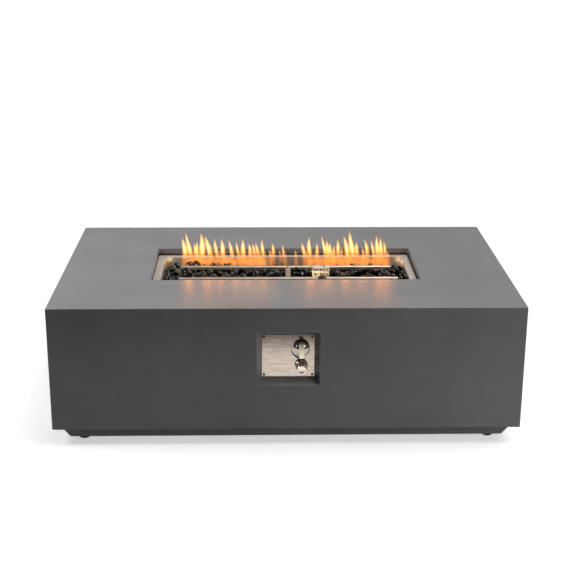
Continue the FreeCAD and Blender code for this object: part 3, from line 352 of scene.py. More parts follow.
def rear_tube():
    """Where the rear tube lies across the pan, and the height of its top."""
    low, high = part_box("burner_tube_rear")
    return (low.y + high.y) / 2, high.z


# Materials


def start_material(name):
    """An empty material, its node tree, and the place on the object that its patterns read."""
    material = bpy.data.materials.new(name)
    material.use_nodes = True
    tree = material.node_tree
    tree.nodes.clear()
    return material, tree, add(tree, "ShaderNodeTexCoord").outputs["Object"]


def surface(tree, height, strength, relief_mm, look):
    """Ends a material with a shader whose surface has a fine relief."""
    bump = add(tree, "ShaderNodeBump", {"Strength": strength, "Distance": relief_mm * mm, "Height": height})
    shader = add(tree, "ShaderNodeBsdfPrincipled", {**look, "Normal": bump.outputs["Normal"]})
    add(tree, "ShaderNodeOutputMaterial", {"Surface": shader.outputs[0]})


def per(size_mm):
    """The scale that repeats a pattern about once in so many millimetres."""
    return 1 / (size_mm * mm)


def cast_concrete():
    """Glass-fibre concrete cast in a smooth mould and sealed: charcoal grey, faint clouds, fine pores."""
    material, tree, place = start_material("cast_concrete")
    clouds = add(tree, "ShaderNodeTexNoise", {"Vector": place, "Scale": per(200), "Detail": 5.0,
                                              "Roughness": 0.6})
    # Sand grains of about 1.5 mm
    grain = add(tree, "ShaderNodeTexNoise", {"Vector": place, "Scale": per(1.538), "Detail": 2.0})
    # Pores of 1 to 2 mm, of which about half are open
    pores = add(tree, "ShaderNodeTexVoronoi", {"Vector": place, "Scale": per(18.18)})
    pore = add(tree, "ShaderNodeMapRange", {"Value": pores.outputs["Distance"], "From Min": 0.03,
                                            "From Max": 0.07, "To Min": 1.0, "To Max": 0.0})
    chance = add(tree, "ShaderNodeMapRange", {"Value": pores.outputs["Color"], "From Min": 0.55,
                                              "From Max": 0.56})
    open_pore = add(tree, "ShaderNodeMath", {0: pore.outputs[0], 1: chance.outputs[0]}, operation="MULTIPLY")
    shades = add(tree, "ShaderNodeValToRGB", {"Fac": clouds.outputs["Fac"]},
                 stops=((0.3, "#7a7a7c"), (0.72, "#868685")))
    specks = add(tree, "ShaderNodeMix", {"Factor": 0.12, 6: shades.outputs["Color"],
                                         7: grain.outputs["Fac"]}, data_type="RGBA", blend_type="OVERLAY")
    colour = add(tree, "ShaderNodeMix", {"Factor": open_pore.outputs[0], 6: specks.outputs[2],
                                         7: linear("#484849")}, data_type="RGBA")
    height = add(tree, "ShaderNodeMath", {0: grain.outputs["Fac"], 1: open_pore.outputs[0]},
                 operation="SUBTRACT")
    roughness = add(tree, "ShaderNodeMapRange", {"Value": clouds.outputs["Fac"], "To Min": 0.3,
                                                 "To Max": 0.38})
    surface(tree, height.outputs[0], 0.25, 0.4, {
        "Base Color": colour.outputs[2], "Roughness": roughness.outputs[0], "Specular IOR Level": 0.3})
    return material


def brushed_stainless(name, light, dark, roughness, streak_mm, stains=0.0, stain="#7a5a3c"):
    """Stainless steel brushed along X: long fine streaks in shade and gloss, with patchy heat or water
    stains."""
    material, tree, place = start_material(name)
    # Streaks are 60 times as long as they are wide
    across = per(streak_mm)
    stretched = add(tree, "ShaderNodeMapping", {"Vector": place, "Scale": (across / 60, across, across)})
    streaks = add(tree, "ShaderNodeTexNoise", {"Vector": stretched.outputs[0], "Scale": 1.0, "Detail": 3.0,
                                               "Roughness": 0.65})
    patches = add(tree, "ShaderNodeTexNoise", {"Vector": place, "Scale": per(45.45), "Detail": 4.0,
                                               "Roughness": 0.6})
    shades = add(tree, "ShaderNodeValToRGB", {"Fac": streaks.outputs["Fac"]},
                 stops=((0.32, dark), (0.68, light)))
    stained = add(tree, "ShaderNodeMapRange", {"Value": patches.outputs["Fac"], "From Min": 0.5,
                                               "From Max": 0.75, "To Min": 0.0, "To Max": stains})
    colour = add(tree, "ShaderNodeMix", {"Factor": stained.outputs[0], 6: shades.outputs["Color"],
                                         7: linear(stain)}, data_type="RGBA")
    gloss = add(tree, "ShaderNodeMapRange", {"Value": streaks.outputs["Fac"], "To Min": roughness - 0.08,
                                             "To Max": roughness + 0.1})
    surface(tree, streaks.outputs["Fac"], 0.12, 0.1, {
        "Base Color": colour.outputs[2], "Metallic": 1.0, "Roughness": gloss.outputs[0]})
    return material


def guard_sheet():
    """Perforated stainless sheet round the igniter: pale outside, painted shade inside so holes show dark.
    """
    material = brushed_stainless("guard_sheet", "#f2e9dc", "#d8cfc2", 0.58, 0.7, 0.3)
    tree = material.node_tree
    shader = next(node for node in tree.nodes if node.type == "BSDF_PRINCIPLED")
    bare = shader.inputs["Base Color"].links[0].from_socket
    low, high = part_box("igniter_guard")
    middle = (low + high) / 2
    reach = (high - low) / 2
    place = add(tree, "ShaderNodeTexCoord").outputs["Object"]
    sides = add(tree, "ShaderNodeSeparateXYZ", {"Vector": place}).outputs
    # Faces inside the guard's outer faces and below its top are coloured near black: painted shade, so the
    # holes look dark
    across = add(tree, "ShaderNodeMath", {0: sides["X"], 1: middle.x, 2: reach.x - guard_inner_shade_from},
                 operation="COMPARE")
    deep = add(tree, "ShaderNodeMath", {0: sides["Y"], 1: middle.y, 2: reach.y - guard_inner_shade_from},
               operation="COMPARE")
    below = add(tree, "ShaderNodeMath", {0: sides["Z"], 1: high.z - guard_inner_shade_from}, operation="LESS_THAN")
    both = add(tree, "ShaderNodeMath", {0: across.outputs[0], 1: deep.outputs[0]}, operation="MULTIPLY")
    painted_inner_shade = add(tree, "ShaderNodeMath", {0: both.outputs[0], 1: below.outputs[0]}, operation="MULTIPLY")
    colour = add(tree, "ShaderNodeMix", {"Factor": painted_inner_shade.outputs[0], 6: bare, 7: linear("#0d0a08")},
                 data_type="RGBA")
    tree.links.new(colour.outputs[2], shader.inputs["Base Color"])
    return material


def plain_metal(name, colour, tarnish, roughness, grain_mm=1.2, uneven=0.3):
    """Turned, drawn or plated metal: soft cloudy tarnish over a fine machined grain."""
    material, tree, place = start_material(name)
    clouds = add(tree, "ShaderNodeTexNoise", {"Vector": place, "Scale": per(14.29), "Detail": 4.0})
    grain = add(tree, "ShaderNodeTexNoise", {"Vector": place, "Scale": per(grain_mm), "Detail": 2.0})
    amount = add(tree, "ShaderNodeMapRange", {"Value": clouds.outputs["Fac"], "From Min": 0.4,
                                              "From Max": 0.75, "To Max": uneven})
    shade = add(tree, "ShaderNodeMix", {"Factor": amount.outputs[0], 6: linear(colour), 7: linear(tarnish)},
                data_type="RGBA")
    gloss = add(tree, "ShaderNodeMapRange", {"Value": clouds.outputs["Fac"], "To Min": roughness * 0.8,
                                             "To Max": roughness * 1.25})
    surface(tree, grain.outputs["Fac"], 0.15, 0.1, {
        "Base Color": shade.outputs[2], "Metallic": 1.0, "Roughness": gloss.outputs[0]})
    return material


def moulded(name, colour, worn, roughness, grain_mm, relief_mm=0.1, specular=0.5):
    """Rubber, plastic, fired clay or fibre: an even colour with a fine surface grain and rubbed patches."""
    material, tree, place = start_material(name)
    clouds = add(tree, "ShaderNodeTexNoise", {"Vector": place, "Scale": per(16.67), "Detail": 3.0})
    grain = add(tree, "ShaderNodeTexNoise", {"Vector": place, "Scale": per(grain_mm), "Detail": 3.0})
    shade = add(tree, "ShaderNodeMix", {"Factor": clouds.outputs["Fac"], 6: linear(colour), 7: linear(worn)},
                data_type="RGBA")
    gloss = add(tree, "ShaderNodeMapRange", {"Value": grain.outputs["Fac"], "To Min": roughness * 0.85,
                                             "To Max": roughness * 1.15})
    surface(tree, grain.outputs["Fac"], 0.3, relief_mm, {
        "Base Color": shade.outputs[2], "Roughness": gloss.outputs[0], "Specular IOR Level": specular})
    return material


def steel_braid():
    """Stainless wire braid over a gas line: crossing bands of bright wire with dark gaps."""
    material, tree, place = start_material("steel_braid")
    # Wire bands 1.65 mm wide, drawn a little coarser than real braid so that they show. The wave texture
    # turns by 20 radians to a scale of one
    scale = math.pi / (20 * 1.653 * mm)
    one_way = add(tree, "ShaderNodeTexWave", {"Vector": place, "Scale": scale, "Distortion": 0.6},
                  bands_direction="DIAGONAL")
    flipped = add(tree, "ShaderNodeMapping", {"Vector": place, "Scale": (-1.0, 1.0, 1.0)})
    other_way = add(tree, "ShaderNodeTexWave", {"Vector": flipped.outputs[0], "Scale": scale,
                                                "Distortion": 0.6}, bands_direction="DIAGONAL")
    crossing = add(tree, "ShaderNodeMath", {0: one_way.outputs["Fac"], 1: other_way.outputs["Fac"]},
                   operation="MAXIMUM")
    shade = add(tree, "ShaderNodeMix", {"Factor": crossing.outputs[0], 6: linear("#3a3a3c"),
                                        7: linear("#b9babd")}, data_type="RGBA")
    surface(tree, crossing.outputs[0], 0.6, 0.3, {
        "Base Color": shade.outputs[2], "Metallic": 1.0, "Roughness": 0.35})
    return material


def polished_chrome(name, colour, roughness):
    """Chrome plate over a turned part: mirror bright, with hair scratches and faint fingerprints."""
    material, tree, place = start_material(name)
    haze = add(tree, "ShaderNodeTexNoise", {"Vector": place, "Scale": per(7.69), "Detail": 4.0})
    scratches = add(tree, "ShaderNodeTexNoise", {"Vector": place, "Scale": per(0.714), "Detail": 1.0})
    gloss = add(tree, "ShaderNodeMapRange", {"Value": haze.outputs["Fac"], "From Min": 0.35,
                                             "From Max": 0.8, "To Min": roughness,
                                             "To Max": roughness + 0.08})
    surface(tree, scratches.outputs["Fac"], 0.03, 0.05, {
        "Base Color": linear(colour), "Metallic": 1.0, "Roughness": gloss.outputs[0]})
    return material


def tumbled_obsidian():
    """Tumbled black fire glass: near black, wet-looking gloss, small chips, painted brown flame reflections.
    """
    material, tree, place = start_material("tumbled_obsidian")
    clouds = add(tree, "ShaderNodeTexNoise", {"Vector": place, "Scale": per(11.765), "Detail": 5.0,
                                              "Roughness": 0.65})
    chips = add(tree, "ShaderNodeTexVoronoi", {"Vector": place, "Scale": per(6.25)}, feature="SMOOTH_F1")
    # The brown end of this ramp, spread in clouds, is painted reflection of the flames' warm light
    shades = add(tree, "ShaderNodeValToRGB", {"Fac": clouds.outputs["Fac"]},
                 stops=((0.45, "#050505"), (0.8, "#2a1d15")))
    gloss = add(tree, "ShaderNodeMapRange", {"Value": clouds.outputs["Fac"], "From Min": 0.4,
                                             "From Max": 0.8, "To Min": 0.05, "To Max": 0.35})
    surface(tree, chips.outputs["Distance"], 0.35, 1.2, {
        "Base Color": shades.outputs["Color"], "Roughness": gloss.outputs[0], "Specular IOR Level": 0.32})
    return material


finishes = {
    "concrete": cast_concrete(),
    "black_rubber": moulded("black_rubber", "#0e0e0f", "#1a1a1b", 0.6, 0.8),
    "zinc_steel": plain_metal("zinc_plated_steel", "#a8abb0", "#6d7076", 0.34),
    "brass": plain_metal("machined_brass", "#c9a25e", "#7d5d30", 0.3),
    "gasket_fibre": moulded("glass_fibre_gasket", "#a8a294", "#8a8476", 0.9, 1.0, 0.3, 0.2),
    "pan_steel": brushed_stainless("satin_pan_sheet", "#ebe3d8", "#cfc6ba", 0.56, 0.9, 0.25, "#9a7a58"),
    "burner_steel": brushed_stainless("heat_tinted_tube", "#d6cabb", "#aea192", 0.3, 0.9, 0.4, "#7c5836"),
    "fire_stone": tumbled_obsidian(),
    "guard_steel": guard_sheet(),
    "ceramic_white": moulded("fired_ceramic", "#ddd8cc", "#c9c2b3", 0.5, 0.6, 0.05),
    "panel_steel": brushed_stainless("brushed_panel", "#ddd0c2", "#8f8175", 0.14, 0.9, 0.12, "#8d7563"),
    "knob_chrome": polished_chrome("chrome_skirt", "#a8a19b", 0.07),
    "igniter_chrome": polished_chrome("chrome_bezel", "#cfcdc8", 0.06),
    "igniter_plastic": moulded("black_nylon", "#101011", "#19191a", 0.4, 0.5),
    "spring_steel": plain_metal("drawn_spring_wire", "#8e9094", "#55575b", 0.3),
    "battery_case": moulded("printed_steel_can", "#5a5d62", "#4a4d52", 0.35, 1.5),
    "hose_braid": steel_braid(),
    "wire_silicone": moulded("red_silicone", "#8c2a1e", "#6d2118", 0.55, 0.6),
    "copper": plain_metal("drawn_copper", "#c7805c", "#7a4530", 0.32),
}
# Screws whose heads have gone dark and brown in the weather
node_finishes = {"panel_screws": plain_metal("browned_screws", "#6a5748", "#2c211a", 0.55)}
# The knob's bar and the button's cap are satin beside the bright chrome round them
grip_finish = brushed_stainless("satin_grip", "#f8efd8", "#dccfb4", 0.35, 0.6, 0.1)
button_finish = plain_metal("satin_button", "#e8d9cc", "#b9a898", 0.24, 0.5, 0.2)
mark_ink = moulded("screen_ink", "#120a06", "#1c110b", 0.6, 0.4, 0.02, 0.2)


def dress_cad_nodes():
    """Every CAD node gets the finish of its slot, or its own."""
    for row in frame["record"]["subparts"]:
        finish = node_finishes.get(row["node"], finishes[row["material_slot"]])
        for slot in nodes[row["node"]].material_slots:
            slot.material = finish


# Fire stones


def tube_line(node):
    """A burner tube's centreline and radius, from its box."""
    low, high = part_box(node)
    centre = (low + high) / 2
    size = high - low
    reach = size / 2
    radius = size.z / 2
    if size.x > size.y:
        return centre - Vector((reach.x, 0, 0)), centre + Vector((reach.x, 0, 0)), radius
    return centre - Vector((0, reach.y, 0)), centre + Vector((0, reach.y, 0)), radius


def drop_places(dice):
    """Where the stones start, over the pan."""
    parts = []
    for count, along, across in stone_pours:
        parts.append(np.column_stack([dice.uniform(*along, count), dice.uniform(*across, count),
                                      pan_floor_z + dice.uniform(*pour_heights, count)]))
    return np.vstack(parts)


def push_apart(centre, reach):
    """Moves stones that lie closer than their reach away from each other."""
    apart = centre[:, None, :] - centre[None, :, :]
    distance = np.sqrt((apart ** 2).sum(axis=2)) + np.eye(len(centre))
    overlap = np.clip(reach - distance, 0, None)
    np.fill_diagonal(overlap, 0)
    centre += (apart * (overlap / distance)[:, :, None]).sum(axis=1) * push_share


def push_off_tube(centre, radius, start, end, tube_radius):
    """Moves stones out of a tube."""
    along = np.array(end - start)
    share = np.clip((centre - np.array(start)) @ along / (along @ along), 0, 1)
    away = centre - (np.array(start) + share[:, None] * along)
    gap = np.linalg.norm(away, axis=1) + tiny
    push = np.clip(tube_radius + tube_gap_share * radius - gap, 0, None)
    centre += away / gap[:, None] * push[:, None]


def push_off_guard(centre, radius, low, high):
    """Moves stones sideways out of the guard's place, at every height."""
    nearest = np.clip(centre[:, :2], np.array(low)[:2], np.array(high)[:2])
    away = centre[:, :2] - nearest
    gap = np.linalg.norm(away, axis=1)
    inside = gap < 1000 * tiny
    away[inside] = (0, -1)
    push = np.where(inside, guard_step_aside, np.clip(radius - gap, 0, None))
    centre[:, :2] += away / (gap + inside + tiny)[:, None] * push[:, None]


def poured_stones():
    """Centres and radii of balls that fall into the pan and push each other apart."""
    dice = np.random.default_rng(stone_seed)
    centre = drop_places(dice)
    radius = dice.uniform(stone_radius_low, stone_radius_high, len(centre))
    reach = stone_spacing * (radius[:, None] + radius[None, :])
    tubes = [tube_line(name) for name in ("burner_tube_rear", "burner_tube_front", "burner_cross_tube")]
    guard_low, guard_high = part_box("igniter_guard")
    guard_low.y -= guard_front_clear
    pan_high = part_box("burner_pan")[1]
    inset = pan_flange_width + pan_sheet
    half_x = pan_high.x - inset
    half_y = pan_high.y - inset
    low = np.column_stack([radius - half_x, radius - half_y, pan_floor_z + radius * floor_gap_share])
    high = np.column_stack([half_x - radius, half_y - radius, np.full(len(centre), np.inf)])
    for step in range(pour_steps):
        if step < pour_steps * pour_fall_share:
            centre[:, 2] -= pour_fall
        push_apart(centre, reach)
        for tube in tubes:
            push_off_tube(centre, radius, *tube)
        push_off_guard(centre, radius, guard_low, guard_high)
        centre = np.clip(centre, low, high)
    return centre, radius


def pebble_tree():
    """Geometry nodes that put an irregular pebble on every point, sized by its stone_radius."""
    tree = bpy.data.node_groups.new("pebbles", "GeometryNodeTree")
    tree.interface.new_socket("Geometry", in_out="INPUT", socket_type="NodeSocketGeometry")
    tree.interface.new_socket("Geometry", in_out="OUTPUT", socket_type="NodeSocketGeometry")
    for name, kind in (("Thinnest", "NodeSocketVector"), ("Fullest", "NodeSocketVector"),
                       ("Lump Size", "NodeSocketFloat"), ("Lump Height", "NodeSocketFloat"),
                       ("Seed", "NodeSocketInt"), ("Material", "NodeSocketMaterial")):
        tree.interface.new_socket(name, in_out="INPUT", socket_type=kind)
    given = add(tree, "NodeGroupInput").outputs
    radius = add(tree, "GeometryNodeInputNamedAttribute", {"Name": "stone_radius"}, data_type="FLOAT")
    shape = add(tree, "FunctionNodeRandomValue", {0: given["Thinnest"], 1: given["Fullest"],
                                                  "Seed": given["Seed"]}, data_type="FLOAT_VECTOR")
    size = add(tree, "ShaderNodeVectorMath", {0: shape.outputs[0], "Scale": radius.outputs[0]},
               operation="SCALE")
    turn = add(tree, "FunctionNodeRandomValue", {
        0: (-pebble_tilt, -pebble_tilt, 0.0), 1: (pebble_tilt, pebble_tilt, math.tau),
        "Seed": given["Seed"]}, data_type="FLOAT_VECTOR")
    ball = add(tree, "GeometryNodeMeshIcoSphere", {"Radius": 1.0, "Subdivisions": 2})
    placed = add(tree, "GeometryNodeInstanceOnPoints", {
        "Points": given["Geometry"], "Instance": ball.outputs["Mesh"], "Rotation": turn.outputs[0],
        "Scale": size.outputs[0]})
    solid = add(tree, "GeometryNodeRealizeInstances", {"Geometry": placed.outputs[0]})
    lumps = add(tree, "ShaderNodeTexNoise", {"Scale": given["Lump Size"], "Detail": 1.0})
    centred = add(tree, "ShaderNodeVectorMath", {0: lumps.outputs["Color"], 1: (0.5, 0.5, 0.5)},
                  operation="SUBTRACT")
    shift = add(tree, "ShaderNodeVectorMath", {0: centred.outputs[0], "Scale": given["Lump Height"]},
                operation="SCALE")
    lumpy = add(tree, "GeometryNodeSetPosition", {"Geometry": solid.outputs[0], "Offset": shift.outputs[0]})
    rounded = add(tree, "GeometryNodeSetShadeSmooth", {"Geometry": lumpy.outputs[0]})
    dressed = add(tree, "GeometryNodeSetMaterial", {"Geometry": rounded.outputs[0],
                                                    "Material": given["Material"]})
    add(tree, "NodeGroupOutput", {"Geometry": dressed.outputs[0]})
    return tree


def set_input(modifier, name, value):
    """Sets a geometry-nodes input by its socket's identifier."""
    socket = next(item for item in modifier.node_group.interface.items_tree
                  if item.name == name and item.in_out == "INPUT")
    modifier[socket.identifier] = value


def make_stones():
    """The pebbles, in place of the CAD's bed of blocks."""
    centre, radius = poured_stones()
    mesh = bpy.data.meshes.new("stone_points")
    mesh.from_pydata([Vector(point) for point in centre], [], [])
    mesh.attributes.new("stone_radius", "FLOAT", "POINT").data.foreach_set("value", radius)
    stones = scene_object("stone_bed", mesh)
    modifier = stones.modifiers.new("pebbles", "NODES")
    modifier.node_group = pebble_tree()
    for name, value in (("Thinnest", pebble_thinnest), ("Fullest", pebble_fullest),
                        ("Lump Size", 1 / pebble_lump_size), ("Lump Height", pebble_lump_height),
                        ("Seed", stone_seed), ("Material", finishes["fire_stone"])):
        set_input(modifier, name, value)
    stones = applied(stones)
    dress(stones, finishes["fire_stone"], "table")
    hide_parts("fire_stones")


# Knob and igniter


def lathe(name, profile, centre, steps=72):
    """A closed turned piece. The profile gives radius and distance towards the front, and starts and ends
    on the axis, or runs in a closed ring."""
    shape = bmesh.new()
    rings = []
    for radius, forward in profile:
        if radius < 100 * tiny:
            rings.append([shape.verts.new((centre[0], centre[1] - forward, centre[2]))])
            continue
        ring = []
        for step in range(steps):
            angle = math.tau * step / steps
            ring.append(shape.verts.new((centre[0] + radius * math.cos(angle), centre[1] - forward,
                                         centre[2] + radius * math.sin(angle))))
        rings.append(ring)
    if len(rings[0]) > 1 and len(rings[-1]) > 1:
        rings.append(rings[0])
    join_rings(shape, rings)
    bmesh.ops.recalc_face_normals(shape, faces=shape.faces)
    return shape_object(name, shape)


def arc_points(centre, radius, start_degrees, end_degrees, count):
    """Points of an arc in the profile's plane."""
    points = []
    for step in range(count + 1):
        angle = math.radians(start_degrees + (end_degrees - start_degrees) * step / count)
        points.append((centre[0] + radius * math.cos(angle), centre[1] + radius * math.sin(angle)))
    return points


def rounded_bar(name, low, high, edge_round):
    """A box with rounded edges."""
    shape = bmesh.new()
    bmesh.ops.create_cube(shape, size=1.0)
    bmesh.ops.scale(shape, vec=high - low, verts=shape.verts)
    bmesh.ops.translate(shape, vec=(low + high) / 2, verts=shape.verts)
    bmesh.ops.bevel(shape, geom=list(shape.edges), offset=edge_round, segments=4, profile=0.5,
                    affect="EDGES")
    return shape_object(name, shape)


def cut_away(made, tool):
    """The object with the tool's shape cut out of it. The tool is used up."""
    modifier = made.modifiers.new("cut", "BOOLEAN")
    modifier.operation = "DIFFERENCE"
    modifier.object = tool
    modifier.solver = "EXACT"
    done = applied(made)
    bpy.data.objects.remove(tool)
    return done


def stem_space(centre):
    """The room that the valve's stem takes in the knob and its grip."""
    profile = [(0, -stem_overcut), (stem_radius, -stem_overcut), (stem_radius, stem_reach), (0, stem_reach)]
    return lathe("stem_space", profile, centre, 48)


def make_knob():
    """A low chrome dome with a separate satin grip bar, on the valve's stem."""
    centre, radius, length = turned_size("control_knob")
    dome_top = knob_skirt + knob_dome
    crown_radius = (radius ** 2 + knob_dome ** 2) / (2 * knob_dome)
    crown_angle = math.degrees(math.asin(radius / crown_radius))
    crown = arc_points((0, dome_top - crown_radius), crown_radius, 90 - crown_angle, 90, 14)
    back = [(0, knob_hollow_depth), (knob_hollow_radius, knob_hollow_depth), (knob_hollow_radius, 0),
            (radius - knob_edge, 0), (radius, knob_edge)]
    bar_low = Vector((centre.x - knob_bar_width / 2, centre.y - length, centre.z - knob_bar_length / 2))
    bar_high = Vector((centre.x + knob_bar_width / 2, centre.y - knob_hollow_depth - knob_bar_back,
                       centre.z + knob_bar_length / 2))
    dome = lathe("knob_dome", back + crown, centre)
    dome = cut_away(dome, rounded_bar("grip_space", bar_low, bar_high, knob_bar_round))
    dome = smooth(cut_away(dome, stem_space(centre)))
    bar = rounded_bar("knob_grip", bar_low, bar_high, knob_bar_round)
    bar = smooth(cut_away(bar, stem_space(centre)), 50)
    dress(dome, finishes["knob_chrome"], "knob")
    dress(bar, grip_finish, "knob")
    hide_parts("control_knob")


def make_bezel():
    """A dark chrome ring with a half round front."""
    centre, outer, height = turned_size("igniter_bezel")
    ring_half = (outer - bezel_bore) / 2
    rise = ring_half * bezel_rise
    over = [((outer + bezel_bore) / 2 + ring_half * math.cos(angle), height - rise + rise * math.sin(angle))
            for angle in (math.radians(10 * step) for step in range(19))]
    flange_radius = outer - bezel_flange_inset
    profile = [(outer, 0)] + over + [(bezel_bore, bezel_flange_depth), (flange_radius, bezel_flange_depth),
                                     (flange_radius, 0)]
    bezel = smooth(lathe("igniter_ring", profile, centre))
    dress(bezel, finishes["igniter_chrome"], "table")
    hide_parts("igniter_bezel")


def make_button():
    """A bright push button with a turned face."""
    centre, outer, length = turned_size("igniter_button")
    inner_face = length - button_wall - button_dish
    inside = [(0, inner_face), (button_bore, inner_face), (button_bore, 0), (outer, 0)]
    corner = arc_points((outer - button_round, length - button_round), button_round, 0, 90, 7)
    rings = [(outer - inward, length - behind) for inward, behind in button_rings]
    middle = [(outer * button_middle_share, length - button_middle_depth), (0, length - button_dish)]
    button = smooth(lathe("push_cap", inside + corner + rings + middle, centre), 40)
    dress(button, button_finish, "push_button")
    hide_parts("igniter_button")


def make_springs():
    """The two return springs, which shorten towards their fixed ends as the knob or the button goes in."""
    for joint in frame["record"]["behaviour"]["joints"]:
        for spring in joint.get("deforming_nodes", []):
            node = spring["node"]
            coil = scene_object(f"{node}_coil", nodes[node].data.copy())
            dress(coil, finishes["spring_steel"], "table")
            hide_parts(node)
            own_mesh(coil)


def make_mark():
    """The flame-size mark: a thin arc that swells into a wedge, as ink on the plate."""
    plate_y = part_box("control_panel")[0].y
    centre = turned_size("control_knob")[0]
    shape = bmesh.new()
    columns = []
    for step in range(mark_steps + 1):
        share = step / mark_steps
        angle = mark_start + (mark_end - mark_start) * share
        line = mark_line_width * (mark_line_from + (1 - mark_line_from) * share)
        swell = max(0.0, (share - mark_swell_from) / (1 - mark_swell_from)) ** 0.5
        outer = mark_radius + line + (mark_full_width - mark_line_width) * swell
        column = []
        for radius, forward in ((mark_radius, 0), (mark_radius, mark_thickness),
                                (outer, mark_thickness), (outer, 0)):
            column.append(shape.verts.new((centre.x + radius * math.cos(angle), plate_y - forward,
                                           centre.z + radius * math.sin(angle))))
        columns.append(column)
    join_rings(shape, columns)
    shape.faces.new(columns[0])
    shape.faces.new(list(reversed(columns[-1])))
    bmesh.ops.recalc_face_normals(shape, faces=shape.faces)
    mark = shape_object("flame_size_mark", shape)
    dress(mark, mark_ink, "table")


# Flames


def flame_material(name, low_colour, high_colour, low_glow, high_glow, veil, streaks=0.0):
    """Burning gas: orange low down by the burner, pale yellow higher up. The glow is how much light one
    metre of flame adds, and the veil is how strongly it yellows what is seen through it. Streaks stand
    upright along the burner."""
    material, tree, place = start_material(name)
    height = add(tree, "ShaderNodeSeparateXYZ", {"Vector": place}).outputs["Z"]
    rise = add(tree, "ShaderNodeMapRange", {
        "Value": height, "From Min": table_top_z + flame_orange_to,
        "From Max": table_top_z + flame_yellow_from})
    colour = add(tree, "ShaderNodeMix", {"Factor": rise.outputs[0], 6: linear(low_colour),
                                         7: linear(high_colour)}, data_type="RGBA")
    strength = add(tree, "ShaderNodeMapRange", {"Value": rise.outputs[0], "To Min": low_glow,
                                                "To Max": high_glow})
    streak_scale = [per(size) for size in flame_streak_mm]
    drawn_out = add(tree, "ShaderNodeMapping", {"Vector": place, "Scale": streak_scale})
    uneven = add(tree, "ShaderNodeTexNoise", {"Vector": drawn_out.outputs[0], "Scale": 1.0, "Detail": 1.0})
    banded = add(tree, "ShaderNodeMapRange", {
        "Value": uneven.outputs["Fac"], "From Min": 0.35, "From Max": 0.65, "To Min": 1 - streaks,
        "To Max": 1 + streaks})
    glow = add(tree, "ShaderNodeMath", {0: strength.outputs[0], 1: banded.outputs[0]}, operation="MULTIPLY")
    light = add(tree, "ShaderNodeEmission", {"Color": colour.outputs[2], "Strength": glow.outputs[0]})
    yellowing = add(tree, "ShaderNodeVolumeAbsorption", {"Color": linear("#ffcb59"), "Density": veil})
    both = add(tree, "ShaderNodeAddShader", {0: light.outputs[0], 1: yellowing.outputs[0]})
    add(tree, "ShaderNodeOutputMaterial", {"Volume": both.outputs[0]})
    return material


def tongue_shift(x, height, width, lean, share):
    """How far a tongue's axis has leaned and swayed at a share of its height."""
    sway = tongue_sway * width * math.sin(tongue_sway_turn * share + x * tongue_sway_phase)
    return sway - lean * height * share ** tongue_lean_power


def tongue(shape, x, y, base_z, height, width, lean, start_share):
    """Adds one closed flame tongue: ellipses along a leaning axis, fullest near its foot, that sways a
    little on the way up."""
    rings = []
    for ring in range(tongue_rings):
        inner = ring / tongue_rings
        share = start_share + (1 - start_share) * ring / tongue_rings
        fullness = (inner + tongue_foot) ** tongue_swell * (1 - inner) ** tongue_taper * tongue_fullness
        sway = tongue_shift(x, height, width, lean, share)
        half_x = width / 2 * fullness
        half_y = half_x * tongue_depth_share
        points = []
        for step in range(tongue_sides):
            angle = math.tau * step / tongue_sides
            points.append(shape.verts.new((x + sway + half_x * math.cos(angle),
                                           y + half_y * math.sin(angle), base_z + height * share)))
        rings.append(points)
    rings.append([shape.verts.new((x + tongue_shift(x, height, width, lean, 1), y, base_z + height))])
    join_rings(shape, rings)
    shape.faces.new(list(reversed(rings[0])))


def stage_flame(name, shape, material):
    """Flames throw no shadow and no light of their own."""
    bmesh.ops.recalc_face_normals(shape, faces=shape.faces)
    flame = shape_object(name, shape)
    flame.data.materials.append(material)
    flame.visible_shadow = False
    flame.visible_diffuse = False


def make_flames():
    """Two layers of tongues: wide orange edges, and narrow bright cores inside them."""
    tube_y, tube_top = rear_tube()
    y = tube_y + flame_behind_tube
    base_z = tube_top - flame_foot_drop
    # Each layer's name and material, its shares of the width and the height, and where its tongues start
    layers = (
        ("flame_edges", flame_material("flame_edge", "#ffa04a", "#ffae3c", 20, 88, 22), 1.0, 1.0, 0.0),
        ("flame_cores", flame_material("flame_core", "#ffb868", "#ffeca4", 8, 130, 0), 0.5, 0.94, 0.14),
    )
    # Neighbouring tongues are in different objects, so that where they cross, their light adds up
    for name, material, wide, tall, start_share in layers:
        for group in range(flame_groups):
            shape = bmesh.new()
            for number in range(group, len(flame_places_mm), flame_groups):
                x_mm, tip_mm = flame_places_mm[number]
                dice = np.random.default_rng(flame_seed + number)
                lean = flame_lean * dice.uniform(*flame_lean_spread)
                widening = flame_width_base + tip_mm / flame_widening_mm
                width = flame_width * dice.uniform(*flame_width_spread) * widening
                tip_z = tip_mm * mm - flame_behind_tube / sight_run + flame_tip_fade + table_top_z
                height = tip_z - base_z
                foot_x = x_mm * mm + lean * height
                stray = dice.uniform(-flame_stray_mm, flame_stray_mm) * mm
                tongue(shape, foot_x, y + stray, base_z, height * tall, width * wide, lean, start_share)
            stage_flame(f"{name}_{group}", shape, material)


